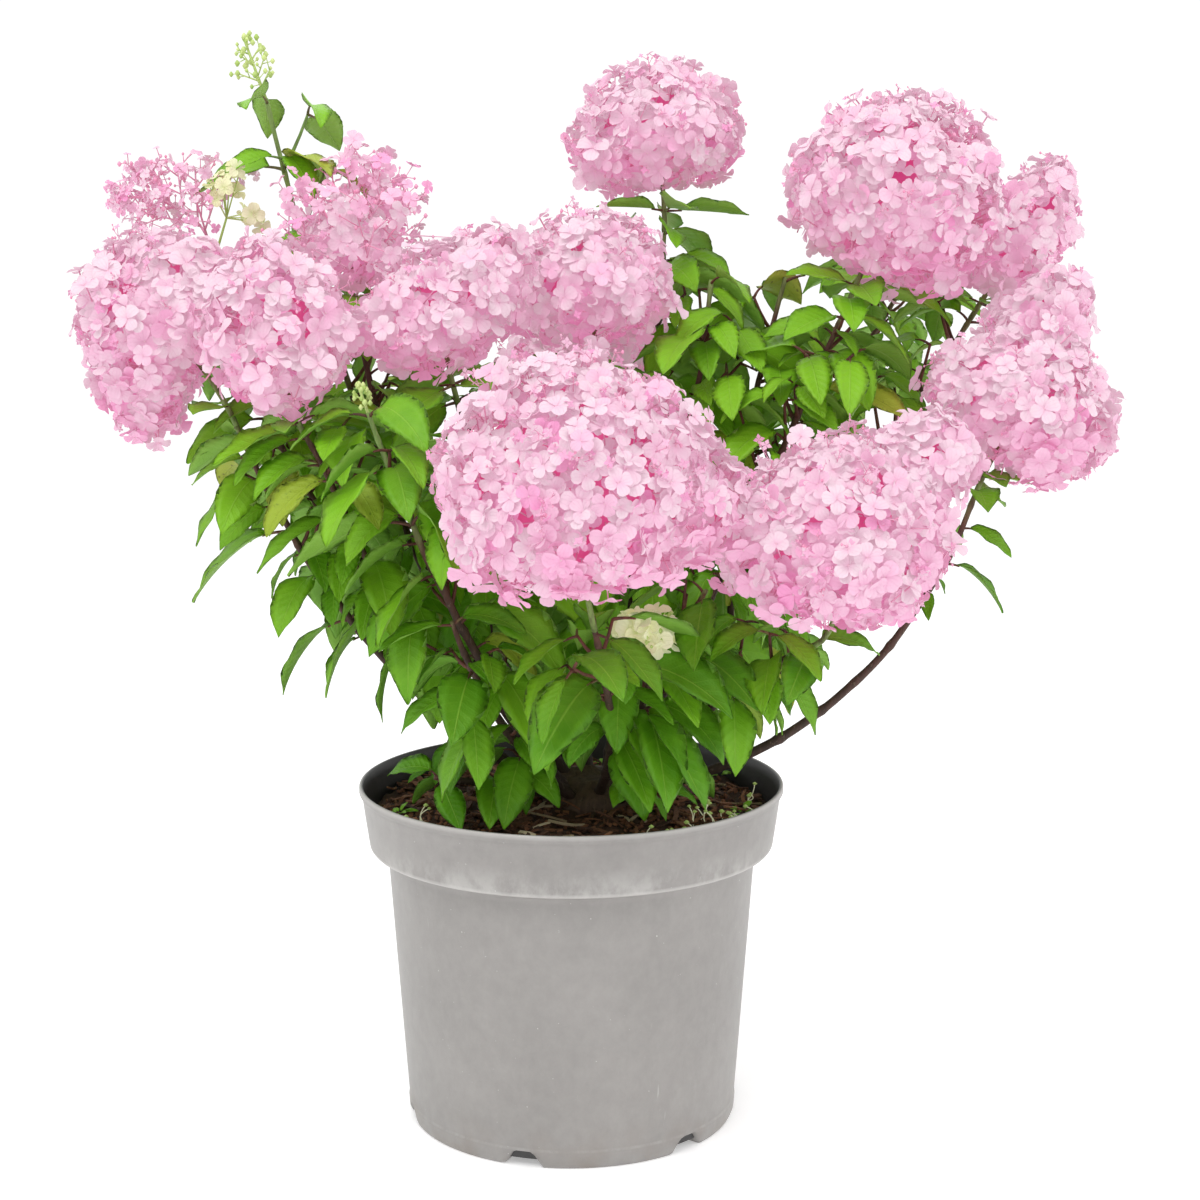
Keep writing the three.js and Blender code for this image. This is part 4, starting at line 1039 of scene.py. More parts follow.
# %% [markdown]
# What looks like a petal is a sepal: four broad, cupped ones to a sterile floret, two of them lying
# over the other two. A panicle holds a hundred or more. One floret is worked out on a small grid, and
# all others are turned, sized and bent copies of it, made in one array.

# %% One floret
SEPAL_ROWS = np.array([0.05, 0.32, 0.62, 0.87, 1.0])
SEPAL_HALF_WIDTH = np.array([0.09, 0.34, 0.50, 0.41, 0.17])
SEPAL_COLUMNS = np.array([-1, 0, 1])
SEPALS = 4
UNDER_SEPAL = 0.06
EYE_SIDES, EYE_RADIUS, EYE_FOOT, EYE_TOP = 5, 0.085, 0.05, 0.17


def sepal_grid(cup, droop, lift, notch):
    """A sepal of reach 1 along +X for each floret: x = r, y = c * half width(r), and
    z = lift + cup * (1.3 y^2 + 0.25 r) - droop * r^2; the tip is notched by `notch` at its middle."""
    r = SEPAL_ROWS[:, None]
    c = SEPAL_COLUMNS[None]
    y = c * SEPAL_HALF_WIDTH[:, None]
    x = r - notch * (1 - c ** 2) * (r > 0.99)
    z = lift + cup * (1.3 * y ** 2 + 0.25 * r) - droop * r ** 2
    return np.stack(np.broadcast_arrays(x, y, z), -1)


def flat_frames(normals):
    """Two unit vectors square to each normal: from up, or from +X where the normal is upright."""
    a = unit(np.cross(np.where(np.abs(normals[:, 2:]) < 0.95, [[0.0, 0, 1]], [[1.0, 0, 0]]), normals))
    return a, np.cross(normals, a)


def florets(centres, normals, reaches, seed):
    """Corners and faces of all florets and the UV of one. Each is set in the frame of its normal, spun by
    chance, and has its own cup and droop for each sepal."""
    draw = np.random.default_rng(seed)
    count = len(centres)
    a, b = flat_frames(normals)
    spin = draw.random(count) * 2 * np.pi
    shape = (count, 1, 1)
    parts = []
    for k in range(SEPALS):
        local = sepal_grid(0.35 + 0.5 * draw.random(shape), 0.02 + 0.34 * draw.random(shape) ** 1.5,
                           UNDER_SEPAL * (k % 2), 0.05 * draw.random(shape))
        turn = (spin + k * np.pi / 2 + (draw.random(count) - 0.5) * 0.22)[:, None, None]
        size = (reaches * (0.9 + 0.2 * draw.random(count)))[:, None, None]
        x, y = turned(local[..., 0], local[..., 1], turn)
        placed = (centres[:, None, None] + (x * size)[..., None] * a[:, None, None]
                  + (y * size)[..., None] * b[:, None, None]
                  + (local[..., 2] * size)[..., None] * normals[:, None, None])
        parts.append(placed.reshape(count, -1, 3))
    ring = circle(EYE_SIDES)
    eye = np.stack([np.cos(ring) * EYE_RADIUS, np.sin(ring) * EYE_RADIUS, ring * 0 + EYE_FOOT], -1)
    eye = np.concatenate([eye, [[0, 0, EYE_TOP]]])
    x, y, z = (eye[None, :, k, None] for k in range(3))
    turned_eye = x * a[:, None] + y * b[:, None] + z * normals[:, None]
    parts.append(centres[:, None] + reaches[:, None, None] * turned_eye)
    sepal_uv = np.stack(np.broadcast_arrays(SEPAL_COLUMNS * 0.5 + 0.5, SEPAL_ROWS[:, None]), -1)
    sepal_uv = sepal_uv.reshape(-1, 2)
    own_uv = np.concatenate([np.tile(sepal_uv, (SEPALS, 1)), np.zeros((len(eye), 2))])
    sepal_faces = grid_quads(len(SEPAL_ROWS), len(SEPAL_COLUMNS))
    corner = np.arange(EYE_SIDES)
    eye_faces = np.stack([corner, (corner + 1) % EYE_SIDES, np.full(EYE_SIDES, EYE_SIDES)], -1)
    faces = [sepal_faces + k * len(sepal_uv) for k in range(SEPALS)] + [eye_faces + SEPALS * len(sepal_uv)]
    return np.concatenate(parts, axis=1), repeat_faces(faces, count, len(own_uv)), own_uv


# %% [markdown]
# Florets sit on a head by the sunflower's rule: equal steps up the head, each turned by the golden
# angle from the last, which spreads them evenly with no seam. An inner layer shows in the gaps.

# %% Where florets sit
GOLDEN = math.pi * (3 - math.sqrt(5))
FLORET_REACH, INNER_SMALLER, TOP_SMALLER = 8.9, 0.12, 0.3
FLORET_AREA = 92
INNER_DEPTH = 9
LAYERS = ((0.0, 1.0), (1.0, 0.65))
JOIN_SHARPNESS = 5.5
OWN_INSIDE = 0.8
BUMPS = ((16, 30), (11, 13))
PROUD_SHARE, PROUD, SAG_UNDER, SINK, SINK_SPREAD = 0.14, 9, 2.5, 9.5, 7
LEAN_SPREAD = 0.42


def egg_points(egg, level, angle, margin=0.0):
    """Points on a lobe: centre + axis * level * half height + out * radius, and the surface's normals."""
    a, b = square_to(egg["axis"])
    ring = np.sqrt(np.maximum(0, 1 - level * level))[:, None]
    out = a * np.cos(angle)[:, None] + b * np.sin(angle)[:, None]
    normals = unit(egg["axis"] * (level / egg["high"])[:, None] + out * ring / egg["across"])
    points = (egg["centre"] + egg["axis"] * (level * (egg["high"] + margin))[:, None]
              + out * ring * (egg["across"] + margin) * (1 - EGG_TAPER * level)[:, None])
    return points, normals


def union_level(points):
    """1 on the surface of lobes that have grown together: 1 - log(sum of e^(-k (depth - 1))) / k."""
    total = sum(np.exp(-JOIN_SHARPNESS * (depth_in(egg, points, 0) - 1)) for egg in ALL_LOBES)
    return 1 - np.log(total) / JOIN_SHARPNESS


def onto_union(points, rounds=3):
    """Moves points to the joined surface by Newton's rule, and gives its normals: the level's slope."""
    for _ in range(rounds):
        level = union_level(points)
        slope = np.stack([union_level(points + step) - level for step in np.eye(3)], -1)
        points = points + slope * ((1 - level) / (slope ** 2).sum(-1))[:, None]
    return points, unit(slope)


def head_florets(shoot, seed):
    """Centres, normals, reaches and depth (0 outside, 1 inside) of the florets of one head."""
    draw = np.random.default_rng(seed)
    found = []
    layers = [(egg, depth, share) for egg in shoot["lobes"] for depth, share in LAYERS]
    for egg, depth, share in layers:
        inset = -INNER_DEPTH * depth
        area = 4 * math.pi * (egg["across"] + inset) * (egg["across"] + 2 * egg["high"] + 3 * inset) / 3
        count = round(area / FLORET_AREA * share)
        i = np.arange(count)
        level = 1 - (2 * i + 1) / count
        points, normals = egg_points(egg, level, i * GOLDEN + draw.random(count) * 0.5 + depth, 0)
        points, normals = onto_union(points)
        points = points + normals * inset
        bumps = sum(high * (lattice_noise(points, size, seed) - 0.5) for high, size in BUMPS)
        proud = np.where(draw.random(count) < PROUD_SHARE, PROUD * draw.random(count), 0)
        under = SAG_UNDER * np.clip(-normals[:, 2], 0, 1)
        out = draw.random(count) * SINK_SPREAD - SINK + bumps + proud - under
        points = points + normals * out[:, None]
        lean = draw.normal(0, LEAN_SPREAD, (count, 3))
        normals = unit(normals + lean + np.array([0, -0.05, 0.12]))
        keep = np.ones(count, bool)
        for other in ALL_LOBES:
            if other is not egg:
                inside = OWN_INSIDE if any(other is own for own in shoot["lobes"]) else 1.0
                keep &= depth_in(other, points, 0) > inside
        reach = FLORET_REACH * (0.8 + 0.32 * draw.random(count)) * (1 - INNER_SMALLER * depth)
        reach = reach * (1 - TOP_SMALLER * np.clip(level - 0.1, 0, 1) * draw.random(count) ** 0.5)
        found.append((points[keep], normals[keep], reach[keep], np.full(keep.sum(), depth)))
    return joined(found)


# %% Petal finishes
# All petal finishes glow in their own colour: painted light that lifts their shade in place of light
# through the thin petals; the pink glows most.
PETAL_PAINTED_GLOW, PINK_PAINTED_GLOW = 0.26, 0.42
VEINS_ACROSS, VEIN_SHOWN, HEART_SHOWN = 4.0, 0.16, 0.5
# places on a petal's UV map for pieces that have none of their own
ON_VEIN, OFF_VEINS = (0.5, 0.5), (0.6, 0.6)


def petal_finish(name, pale, deep, heart, eye, painted_glow=PETAL_PAINTED_GLOW):
    """Pale to deep colour by the floret's number, darker to its heart, with fine veins and a small eye, and
    a glow in the same colour: painted light that lifts the petals' shade.
    """
    material, tree, shader = new_finish(name, 0.62, Emission_Strength=painted_glow)
    across, along = own_map(tree)
    vein = ramp((across * VEINS_ACROSS).math("PINGPONG", 0.5), 0.1, 0.0)
    depth = number(tree, "deep") + (noise(tree, 70, 3) - 0.5) * 0.8
    colour = mix(ramp(along, 0.5, 0.02, 0, HEART_SHOWN), mix(ramp(depth, 0, 1), pale, deep), heart)
    colour = mix(ramp(along, 0.03, 0.01), mix(vein * VEIN_SHOWN, colour, heart), eye)
    # the emission takes the same colour: painted light
    link(colour, shader, "Base Color", "Emission Color")
    set_bump(shader, vein * 0.5 + noise(tree, 420, 3), 0.0006, 0.5)
    return material


PINK = petal_finish("pink_petal", (0.580, 0.440, 0.500), (0.620, 0.238, 0.420), (0.60, 0.28, 0.43),
                    (0.58, 0.34, 0.42), PINK_PAINTED_GLOW)
CREAM = petal_finish("cream_petal", (0.74, 0.74, 0.52), (0.58, 0.58, 0.30), (0.46, 0.54, 0.20),
                     (0.62, 0.60, 0.30))
HEART = petal_finish("inner_pink", (0.85, 0.22, 0.46), (0.70, 0.07, 0.27), (0.60, 0.05, 0.20),
                     (0.60, 0.05, 0.20))
GREEN_BUD = petal_finish("green_bud", (0.52, 0.60, 0.24), (0.30, 0.42, 0.10), (0.30, 0.42, 0.10),
                         (0.40, 0.50, 0.20))
PINK_STALK = petal_finish("pink_stalk", (0.64, 0.34, 0.46), (0.66, 0.24, 0.38), (0.60, 0.20, 0.34),
                          (0.60, 0.20, 0.34))
FINISHES = {"pink": (PINK, "pink_petals"), "cream": (CREAM, "cream_petals"),
            "heart": (HEART, "pink_petals"), "pink stalk": (PINK_STALK, "pink_petals"),
            "green stalk": (GREEN_BUD, "cream_petals")}

# %% Pink heads
HEADS = [name for name, shoot in SHOOTS.items() if shoot["lobes"]]
HEAD_SEED = 500
FLORET_STALK, FLORET_STALK_MORE = 6, 8
stems_of_florets = []


def petal_piece(name, points, faces, finish, heads, uv, deep):
    """A piece in one of the petal finishes, in place of some heads, with how deep its colour is."""
    material, slot = FINISHES[finish]
    make_piece(name, points, faces, [material], ["flowers_" + head for head in heads], uv,
               dict(deep=deep))


def floret_tone_and_painted_shade(normals, depth, seed):
    """How deep a pink: painted shade makes the inner layer and the undersides deeper and the tops pale,
    with chance in between.
    """
    draw = np.random.default_rng(seed)
    # painted shade: florets that face down get a deeper pink, and so does the inner layer in the gaps
    under = np.clip(0.42 - normals[:, 2] * 0.55, 0, 1)
    return np.clip(0.55 * depth + 0.75 * under + draw.normal(0, 0.13, len(normals)), 0, 1)


for piece_name, first, last in (("florets_left", 0, 5), ("florets_front", 5, 7), ("florets_right", 7, 10),
                                ("florets_back", 10, len(HEADS))):
    names = HEADS[first:last]
    centres, normals, reaches, depth = joined(
        head_florets(SHOOTS[name], SHOOTS[name]["seed"] + HEAD_SEED) for name in names)
    count = len(centres)
    roots = centres - normals * (FLORET_STALK + FLORET_STALK_MORE * (1 - depth))[:, None]
    stems_of_florets.append((roots[depth == 0], centres[depth == 0]))
    points, faces, own_uv = florets(centres, normals, reaches, count)
    # the florets' number is their painted shade with a random tone
    petal_piece(piece_name, points, faces, "pink", names, own_uv, floret_tone_and_painted_shade(normals, depth, count))
    print(piece_name, "florets:", count)

# %% Hearts of the heads
HEART_ROWS, HEART_COLUMNS = 18, 26
HEART_DEPTH, HEART_FULL_AT = 19, 38
HEART_BUMPS = 7
level = np.cos(np.linspace(0.04, math.pi - 0.04, HEART_ROWS)).repeat(HEART_COLUMNS)
angle = np.tile(circle(HEART_COLUMNS), HEART_ROWS)
hearts = []
for egg in (egg for name in HEADS for egg in SHOOTS[name]["lobes"]):
    points, normals = egg_points(egg, level, angle, -HEART_DEPTH * min(1, egg["across"] / HEART_FULL_AT))
    hearts.append(points + normals * ((lattice_noise(points, 6, 5) - 0.5) * HEART_BUMPS)[:, None])
faces = repeat_faces(turned_faces(HEART_ROWS, HEART_COLUMNS, flip=True), len(hearts), len(level))
points = np.concatenate(hearts)
petal_piece("flower_hearts", points, faces, "heart", HEADS, ON_VEIN, lattice_noise(points, 14, 6))

# %% [markdown]
# Young panicles are open: a stalk with side branches in turn, each with smaller ones that carry buds or
# small florets. Such a shape is three levels of the same step, so each level is one array of lines.

# %% Open panicles
OPEN_SEED = 700
INTO_STEM = 0.4
BRANCHES_RISE = [0, 0, 0.35]


def flower_stalk(shoot, aim):
    """The curve on from a shoot's end, which it leaves along the shoot; `aim` leads to its tip."""
    share = 1 - (STALK - INTO_STEM) / shoot["length"]
    foot, tangent = curve_points(shoot, share), curve_tangents(shoot, share)
    tip = aim(foot)
    return dict(foot=foot, control=foot + tangent * np.linalg.norm(tip - foot) * 0.35, tip=tip)


def open_branches(shoot, floret_count):
    """The stalk, and start and end of the main branches: each springs from the stalk a golden turn after
    the last and is shorter towards the top."""
    loose = shoot["loose"]
    draw = seeded(shoot["seed"] + OPEN_SEED)
    stalk = flower_stalk(shoot, lambda foot: foot + unit(np.array(loose["lean"], float)) * loose["reach"])
    lines = []
    for i in range(floret_count):
        level = 0.12 + 0.84 * i / (floret_count - 1)
        angle = i * GOLDEN + draw() * 0.5
        spread = loose["spread"] * (1 - 0.62 * level * level) * (0.75 + 0.3 * draw())
        start, axis = curve_points(stalk, level * 0.9), curve_tangents(stalk, level * 0.9)
        aim = unit(sideways(axis, angle) + axis * (0.45 + 0.75 * level) + BRANCHES_RISE)
        draw()
        lines.append((start, start + aim * spread))
    return stalk, lines


def side_branches(starts, ends, count, length, seed):
    """`count` branches off each line, in golden turns round it, that lean forward along it."""
    draw = np.random.default_rng(seed)
    k = np.arange(count)
    share = (0.3 + 0.68 * (k + 0.6) / count)[None, :, None]
    axis = unit(ends - starts)[:, None]
    root = starts[:, None] + (ends - starts)[:, None] * share
    least = np.eye(3)[np.abs(axis[:, 0]).argmin(1)][:, None]
    a = unit(np.cross(least, axis))
    b = np.cross(axis, a)
    angle = (k * GOLDEN)[None, :, None] + draw.random((len(starts), 1, 1)) * 6.3
    aim = unit(a * np.cos(angle) + b * np.sin(angle) + axis * 0.8)
    varied = 0.7 + 0.6 * draw.random((len(starts), count, 1))
    reach = np.linalg.norm(ends - starts, axis=1)[:, None, None] * length * varied
    return root.reshape(-1, 3), (root + aim * reach).reshape(-1, 3)


def ends_of(*levels):
    """Ends and directions of all lines of some levels (starts, ends)."""
    return joined((ends, ends - starts) for starts, ends in levels)


# number of branches, share of tips with a floret, least and greatest reach of a floret, and the colours
# of petals and of branches
OPEN_PANICLES = dict(left_tip=(13, 0.7, 1.8, 4.6, "pink", "pink"),
                     upper_left=(14, 0.5, 3.0, 6.8, "pink", "pink"),
                     cream=(6, 0.3, 6.5, 10.0, "cream", "green"))
fine_lines, buds, small_florets = [], [], []
for name, (branch_count, opened_share, least, most, petals, branches) in OPEN_PANICLES.items():
    shoot = SHOOTS[name]
    draw = np.random.default_rng(shoot["seed"])
    stalk, lines = open_branches(shoot, branch_count)
    starts, ends = (np.array(column) for column in zip(*lines))
    keep = ~in_a_head(ends, 4)
    first = starts[keep], ends[keep]
    second = side_branches(*first, 5, 0.42, shoot["seed"])
    third = side_branches(*second, 3, 0.55, shoot["seed"] + 1)
    stalk_line = curve_points(stalk, np.linspace(0, 1, 9))
    fine_lines += [(stalk_line[:-1], stalk_line[1:], 0.95, branches), (*first, 0.7, branches),
                   (*second, 0.5, branches), (*third, 0.35, branches)]
    tips, aims = ends_of(first, second, third)
    opened = draw.random(len(tips)) < opened_share
    buds.append((tips[~opened], 0.8 + 0.7 * draw.random((~opened).sum()), branches))
    outward = unit(unit(aims[opened]) + np.array([0, -0.3, 0.25]) + draw.normal(0, 0.4, (opened.sum(), 3)))
    small_florets.append((name, petals, tips[opened], outward, draw.uniform(least, most, opened.sum())))

# %% Sprays of cream florets beside the left tip
SPRAY_FROM = 0.93
SPRAY_FORK = np.array([-207.0, 25, 551])
SPRAY_ENDS = np.array([[-210, 22, 577], [-203, 24, 582], [-216, 20, 570], [-207, 18, 571], [-199, 24, 576],
                       [-192, 22, 551], [-185, 26, 548], [-189, 20, 555]], float)
spray_root = curve_points(SHOOTS["left_tip"], SPRAY_FROM)
sprays = np.broadcast_to(SPRAY_FORK, SPRAY_ENDS.shape), SPRAY_ENDS
second = side_branches(*sprays, 2, 0.2, 71)
fine_lines += [(spray_root[None], SPRAY_FORK[None], 0.9, "green"), (*sprays, 0.5, "green"),
               (*second, 0.35, "green")]
draw = np.random.default_rng(72)
tips, aims = ends_of(sprays, second)
outward = unit(unit(aims) + draw.normal(0, 0.3, tips.shape) + [0, -0.5, 0])
small_florets.append(("left_tip", "cream", tips, outward, draw.uniform(3.6, 7.2, len(tips))))

# %% Green tips that have not opened
for shoot in (shoot for shoot in SHOOTS.values() if "bud" in shoot):
    bud = shoot["bud"]
    axis = unit(np.array(bud.get("lean", curve_tangents(shoot, 1.0)), float))
    a, b = square_to(axis)
    count = max(5, round(bud["reach"] / 4))
    level = np.linspace(0.12, 1, count)[:, None]
    angle = (np.arange(count) * GOLDEN)[:, None]
    top = (shoot["tip"] + axis * bud["reach"])[None]
    starts = shoot["tip"] + axis * bud["reach"] * level * 0.9
    aims = unit(a * np.cos(angle) + b * np.sin(angle) + axis * 0.8)
    ends = starts + aims * bud["spread"] * (1.15 - 0.7 * level)
    second = side_branches(starts, ends, 3, 0.5, shoot["seed"])
    fine_lines += [((shoot["tip"] - axis * 2)[None], top, 1.0, "green"), (starts, ends, 0.55, "green"),
                   (*second, 0.35, "green")]
    tips = np.concatenate([ends, second[1], top])
    buds.append((tips, 1.1 + 0.8 * np.random.default_rng(shoot["seed"]).random(len(tips)), "green"))

# %% [markdown]
# Between the showy florets stand tiny fertile ones, no more than pink beads on threads. They blur the
# outline of a head, which would look like a ball without them.

# %% Sprigs of fertile florets
SPRIG_AREA = 360
SPRIG_SEED = 800
SPRIG_REACH, SPRIG_SUNK, SPRIG_ROOT = 22, 3, 8
sprig_tips = []
for shoot in (SHOOTS[name] for name in HEADS):
    draw = np.random.default_rng(shoot["seed"] + SPRIG_SEED)
    for egg in shoot["lobes"]:
        count = round(4 * math.pi * egg["across"] * (egg["across"] + 2 * egg["high"]) / 3 / SPRIG_AREA)
        i = np.arange(count)
        points, normals = egg_points(egg, 1 - (2 * i + 1) / count, i * GOLDEN + draw.random(count) * 2)
        aims = unit(normals + draw.normal(0, 0.35, (count, 3)))
        patch = lattice_noise(points, 22, shoot["seed"] + 9)[:, None] + 0.3 * np.clip(normals[:, 2:], -1, 1)
        reach = np.clip(patch - 0.35, 0, 1) * SPRIG_REACH * draw.random((count, 1)) - SPRIG_SUNK
        starts, ends = points - normals * SPRIG_ROOT, points + aims * reach
        keep = np.all([depth_in(other, ends, 0) >= 0.97 for other in ALL_LOBES if other is not egg], axis=0)
        sprig = starts[keep], ends[keep]
        second = side_branches(*sprig, 3, 0.4, shoot["seed"])
        fine_lines += [(*sprig, 0.32, "pink"), (*second, 0.24, "pink")]
        tips, aims = ends_of(sprig, second)
        opened = draw.random(len(tips)) < 0.55
        outward = unit(unit(aims[opened]) + draw.normal(0, 0.5, (opened.sum(), 3)))
        sprig_tips.append((tips[opened], outward))
        buds.append((tips[~opened], 0.5 + 0.6 * draw.random((~opened).sum()), "pink"))

# %% Tiny florets
TINY = np.array([[0, 0, 0], [0.45, 0.36, 0.12], [1, 0, 0.05], [0.45, -0.36, 0.12]])
TINY_UV = np.column_stack([[0.5, 1, 0.5, 0], [0.1, 0.5, 1, 0.5]])


def tiny_florets(centres, normals, reaches, seed):
    """Four sepals of one face each, (0, 0), (0.45, 0.36), (1, 0), (0.45, -0.36), turned a quarter apart."""
    count = len(centres)
    a, b = flat_frames(normals)
    turn = np.random.default_rng(seed).random(count)[:, None] * 6.3 + np.arange(SEPALS)[None] * math.pi / 2
    x, y = turned(TINY[:, 0], TINY[:, 1], turn[..., None])
    local = (x[..., None] * a[:, None, None] + y[..., None] * b[:, None, None]
             + TINY[:, 2][None, None, :, None] * normals[:, None, None])
    points = centres[:, None, None] + local * reaches[:, None, None, None]
    quads = np.arange(SEPALS)[:, None] * 4 + np.array([0, 3, 2, 1])[None]
    return points, repeat_faces([quads], count, 4 * SEPALS)


centres, normals = joined(sprig_tips)
draw = np.random.default_rng(15)
points, faces = tiny_florets(centres, normals, draw.uniform(1.8, 3.8, len(centres)), 16)
petal_piece("sprig_florets", points, faces, "pink", HEADS, TINY_UV, draw.uniform(0.2, 1, len(centres)))

# %% Small florets, buds and their stalks
BUD_ROWS, BUD_COLUMNS = 3, 5
BRANCH_SIDES = 3
BRANCH_FOOT, BRANCH_TIP = 1.1, 0.85
for k, (name, petals, centres, normals, reaches) in enumerate(small_florets):
    points, faces, own_uv = florets(centres, normals, reaches, 7 + k)
    deep = np.clip(np.random.default_rng(8 + k).normal(0.4, 0.25, len(centres)), 0, 1)
    petal_piece(f"small_florets_{k}_{petals}", points, faces, petals, [name], own_uv, deep)

polar = np.linspace(0.3, math.pi - 0.3, BUD_ROWS)[:, None]
around = circle(BUD_COLUMNS)
ball = np.stack(np.broadcast_arrays(np.sin(polar) * np.cos(around), np.sin(polar) * np.sin(around),
                                    1.1 * np.cos(polar)), -1).reshape(-1, 3)
ball_faces = turned_faces(BUD_ROWS, BUD_COLUMNS, flip=True)
for kind in ("green", "pink"):
    centres, sizes = joined((tips, radii) for tips, radii, colour in buds if colour == kind)
    petal_piece(kind + "_buds", centres[:, None] + ball[None] * sizes[:, None, None],
                repeat_faces(ball_faces, len(centres), len(ball)), kind + " stalk", (), OFF_VEINS,
                np.random.default_rng(10).random(len(centres)))
    starts, ends, radii = joined((starts, ends, np.full(len(starts), radius))
                                 for starts, ends, radius, colour in fine_lines if colour == kind)
    points, faces = tubes(np.stack([starts, ends], 1),
                          np.stack([radii * BRANCH_FOOT, radii * BRANCH_TIP], 1), BRANCH_SIDES)
    petal_piece(kind + "_branches", points, faces, kind + " stalk", (), OFF_VEINS,
                np.random.default_rng(11).random(len(starts)))

roots, centres = joined(stems_of_florets)
points, faces = tubes(np.stack([roots, centres], 1), 0.5, 3)
petal_piece("floret_stalks", points, faces, "pink stalk", (), ON_VEIN,
            np.random.default_rng(12).random(len(roots)))

# %% Stalks of the heads
HEAD_STALK_RADII, HEAD_STALK_YOUTH = (1.75, 1.3), 0.9
head_stalks = []
for shoot in (SHOOTS[name] for name in HEADS):
    centre = shoot["lobes"][0]["centre"]
    stalk = flower_stalk(shoot, lambda foot: foot + (centre - foot) * 0.9)
    head_stalks.append((curve_points(stalk, np.linspace(-0.01, 1, 8)), np.linspace(*HEAD_STALK_RADII, 8),
                        np.full(8, HEAD_STALK_YOUTH)))
tube_piece("head_stalks", head_stalks, 10, BARK, ["flowers_" + name for name in HEADS])

# %% [markdown]
# The pot is blow-moulded grey plastic: a tapered body, a step out to a deep collar, a thin rolled rim
# and six slanted drain notches round its foot. It is a profile turned about the upright axis, whose
# foot is lifted column by column where a notch is.

# %% Pot
COLLAR_Z = 171
BODY_TOP_RADIUS = 113
POT_BASE_RADIUS = 101
POT_WALL = 2.4
POT_COLUMNS = 240
NOTCH_COUNT, NOTCH_TURN = 6, math.radians(-16)
NOTCH_WIDTH, NOTCH_SLANT, NOTCH_HEIGHT, NOTCH_DEPTH = 24, 7, 10, 13
OVALNESS = 0.0016
WELD = 0.00001


def notch_lift(angle):
    """Height of the foot's edge: 10 mm in a notch, falling in a slant to 0 at its two ends."""
    step = 2 * math.pi / NOTCH_COUNT
    off = (angle - (NOTCH_TURN - math.pi / 2) + step / 2) % step - step / 2
    beyond = np.abs(off) * POT_BASE_RADIUS - (NOTCH_WIDTH / 2 - NOTCH_SLANT)
    return NOTCH_HEIGHT * np.clip(1 - beyond / NOTCH_SLANT, 0, 1)


def wall(z, proud=0.0, lift=0.0, at=None):
    """A row of the profile on the outside wall at a height, whose radius grows evenly from foot to
    collar; `at` puts the row at a height a little off that."""
    slope = (BODY_TOP_RADIUS - POT_BASE_RADIUS) / (COLLAR_Z - 2)
    return POT_BASE_RADIUS + slope * z + proud, z if at is None else at, lift


base, inner = POT_BASE_RADIUS, POT_BASE_RADIUS - POT_WALL
# radius, height, and how much of the notch's lift this ring takes
OUTSIDE = [
    (4, 0, 0), (base - NOTCH_DEPTH - 0.3, 0, 0), (base - NOTCH_DEPTH, 0, 1), (base - 2.2, 0, 1),
    (base - 0.8, 0.4, 1), (base - 0.2, 1.6, 0.9), wall(4, 0.5, 0.62), wall(9, 0.5, 0.12),
    wall(10.5, 0.5, 0.03), wall(11.2, at=11.4), *[wall(z) for z in (20, 50, 80, 110, 140, 164)],
    wall(167, 0.4, at=167.6), (115.6, 169.6, 0), (120.6, 171.0, 0), (122.9, 171.7, 0), (123.8, 172.9, 0),
    (124.1, 174.5, 0), (124.9, 180, 0), (126.2, 189, 0), (127.4, 198, 0), (128.2, 204.4, 0),
    (129.4, 205.2, 0), (130, 206.4, 0), (130, 208.6, 0), (129.6, 209.6, 0), (128.9, 210, 0),
]
INSIDE = [
    (128.1, 209.8, 0), (127.5, 209, 0), (126.4, 203, 0), (125.2, 192, 0), (121.7, 176, 0),
    (112.2, 172.5, 0), (110.6, 171, 0), (inner + 0.2, 6, 0), (inner, 4.5, 0),
    (base - NOTCH_DEPTH - 3, 4, 0), (4, 4, 0),
]
turn = circle(POT_COLUMNS)
ring_radius, ring_height, ring_lift = np.array(OUTSIDE + INSIDE).T[..., None]
z = ring_height + ring_lift * notch_lift(turn)
radius = ring_radius * (1 + OVALNESS * np.cos(2 * turn + 0.6) * (ring_height / POT_HEIGHT))
pot_points = np.stack([radius * np.cos(turn), radius * np.sin(turn), z], -1)

# %% Plastic finish
PLASTIC_DARK, PLASTIC_LIGHT = (0.242, 0.230, 0.219), (0.300, 0.285, 0.272)
FROST, PALE_BAND_GREY, SPECK = (0.56, 0.55, 0.53), (0.60, 0.58, 0.56), (0.66, 0.65, 0.63)
MUD, SHADED = (0.20, 0.15, 0.11), (0.016, 0.015, 0.015)
plastic, tree, shader = new_finish("pot_plastic", 0.42, Specular_IOR_Level=0.75)
height = wire(tree, "SeparateXYZ", {"Vector": wire(tree, "TexCoord", output="Object")}, "Z")
cloud = noise(tree, 14, 4)
grain = noise(tree, 1400, 2)
frost = noise(tree, 60, 6, (1, 1, 0.6), 0.7)
mottle = noise(tree, 130, 6, (1, 1, 0.8), 0.65)
frosted = ramp(height, 0.1705, 0.173) * ramp(height, 0.190, 0.174) * ramp(frost, 0.42, 0.62)
# painted highlight: a lighter line on the small ledge above the foot, where the light catches it
foot_ledge_highlight = ramp(height, 0.0100, 0.0108) * ramp(height, 0.0124, 0.0114)
collar_foot = ramp(height, 0.1708, 0.1718) * ramp(height, 0.1745, 0.1725)
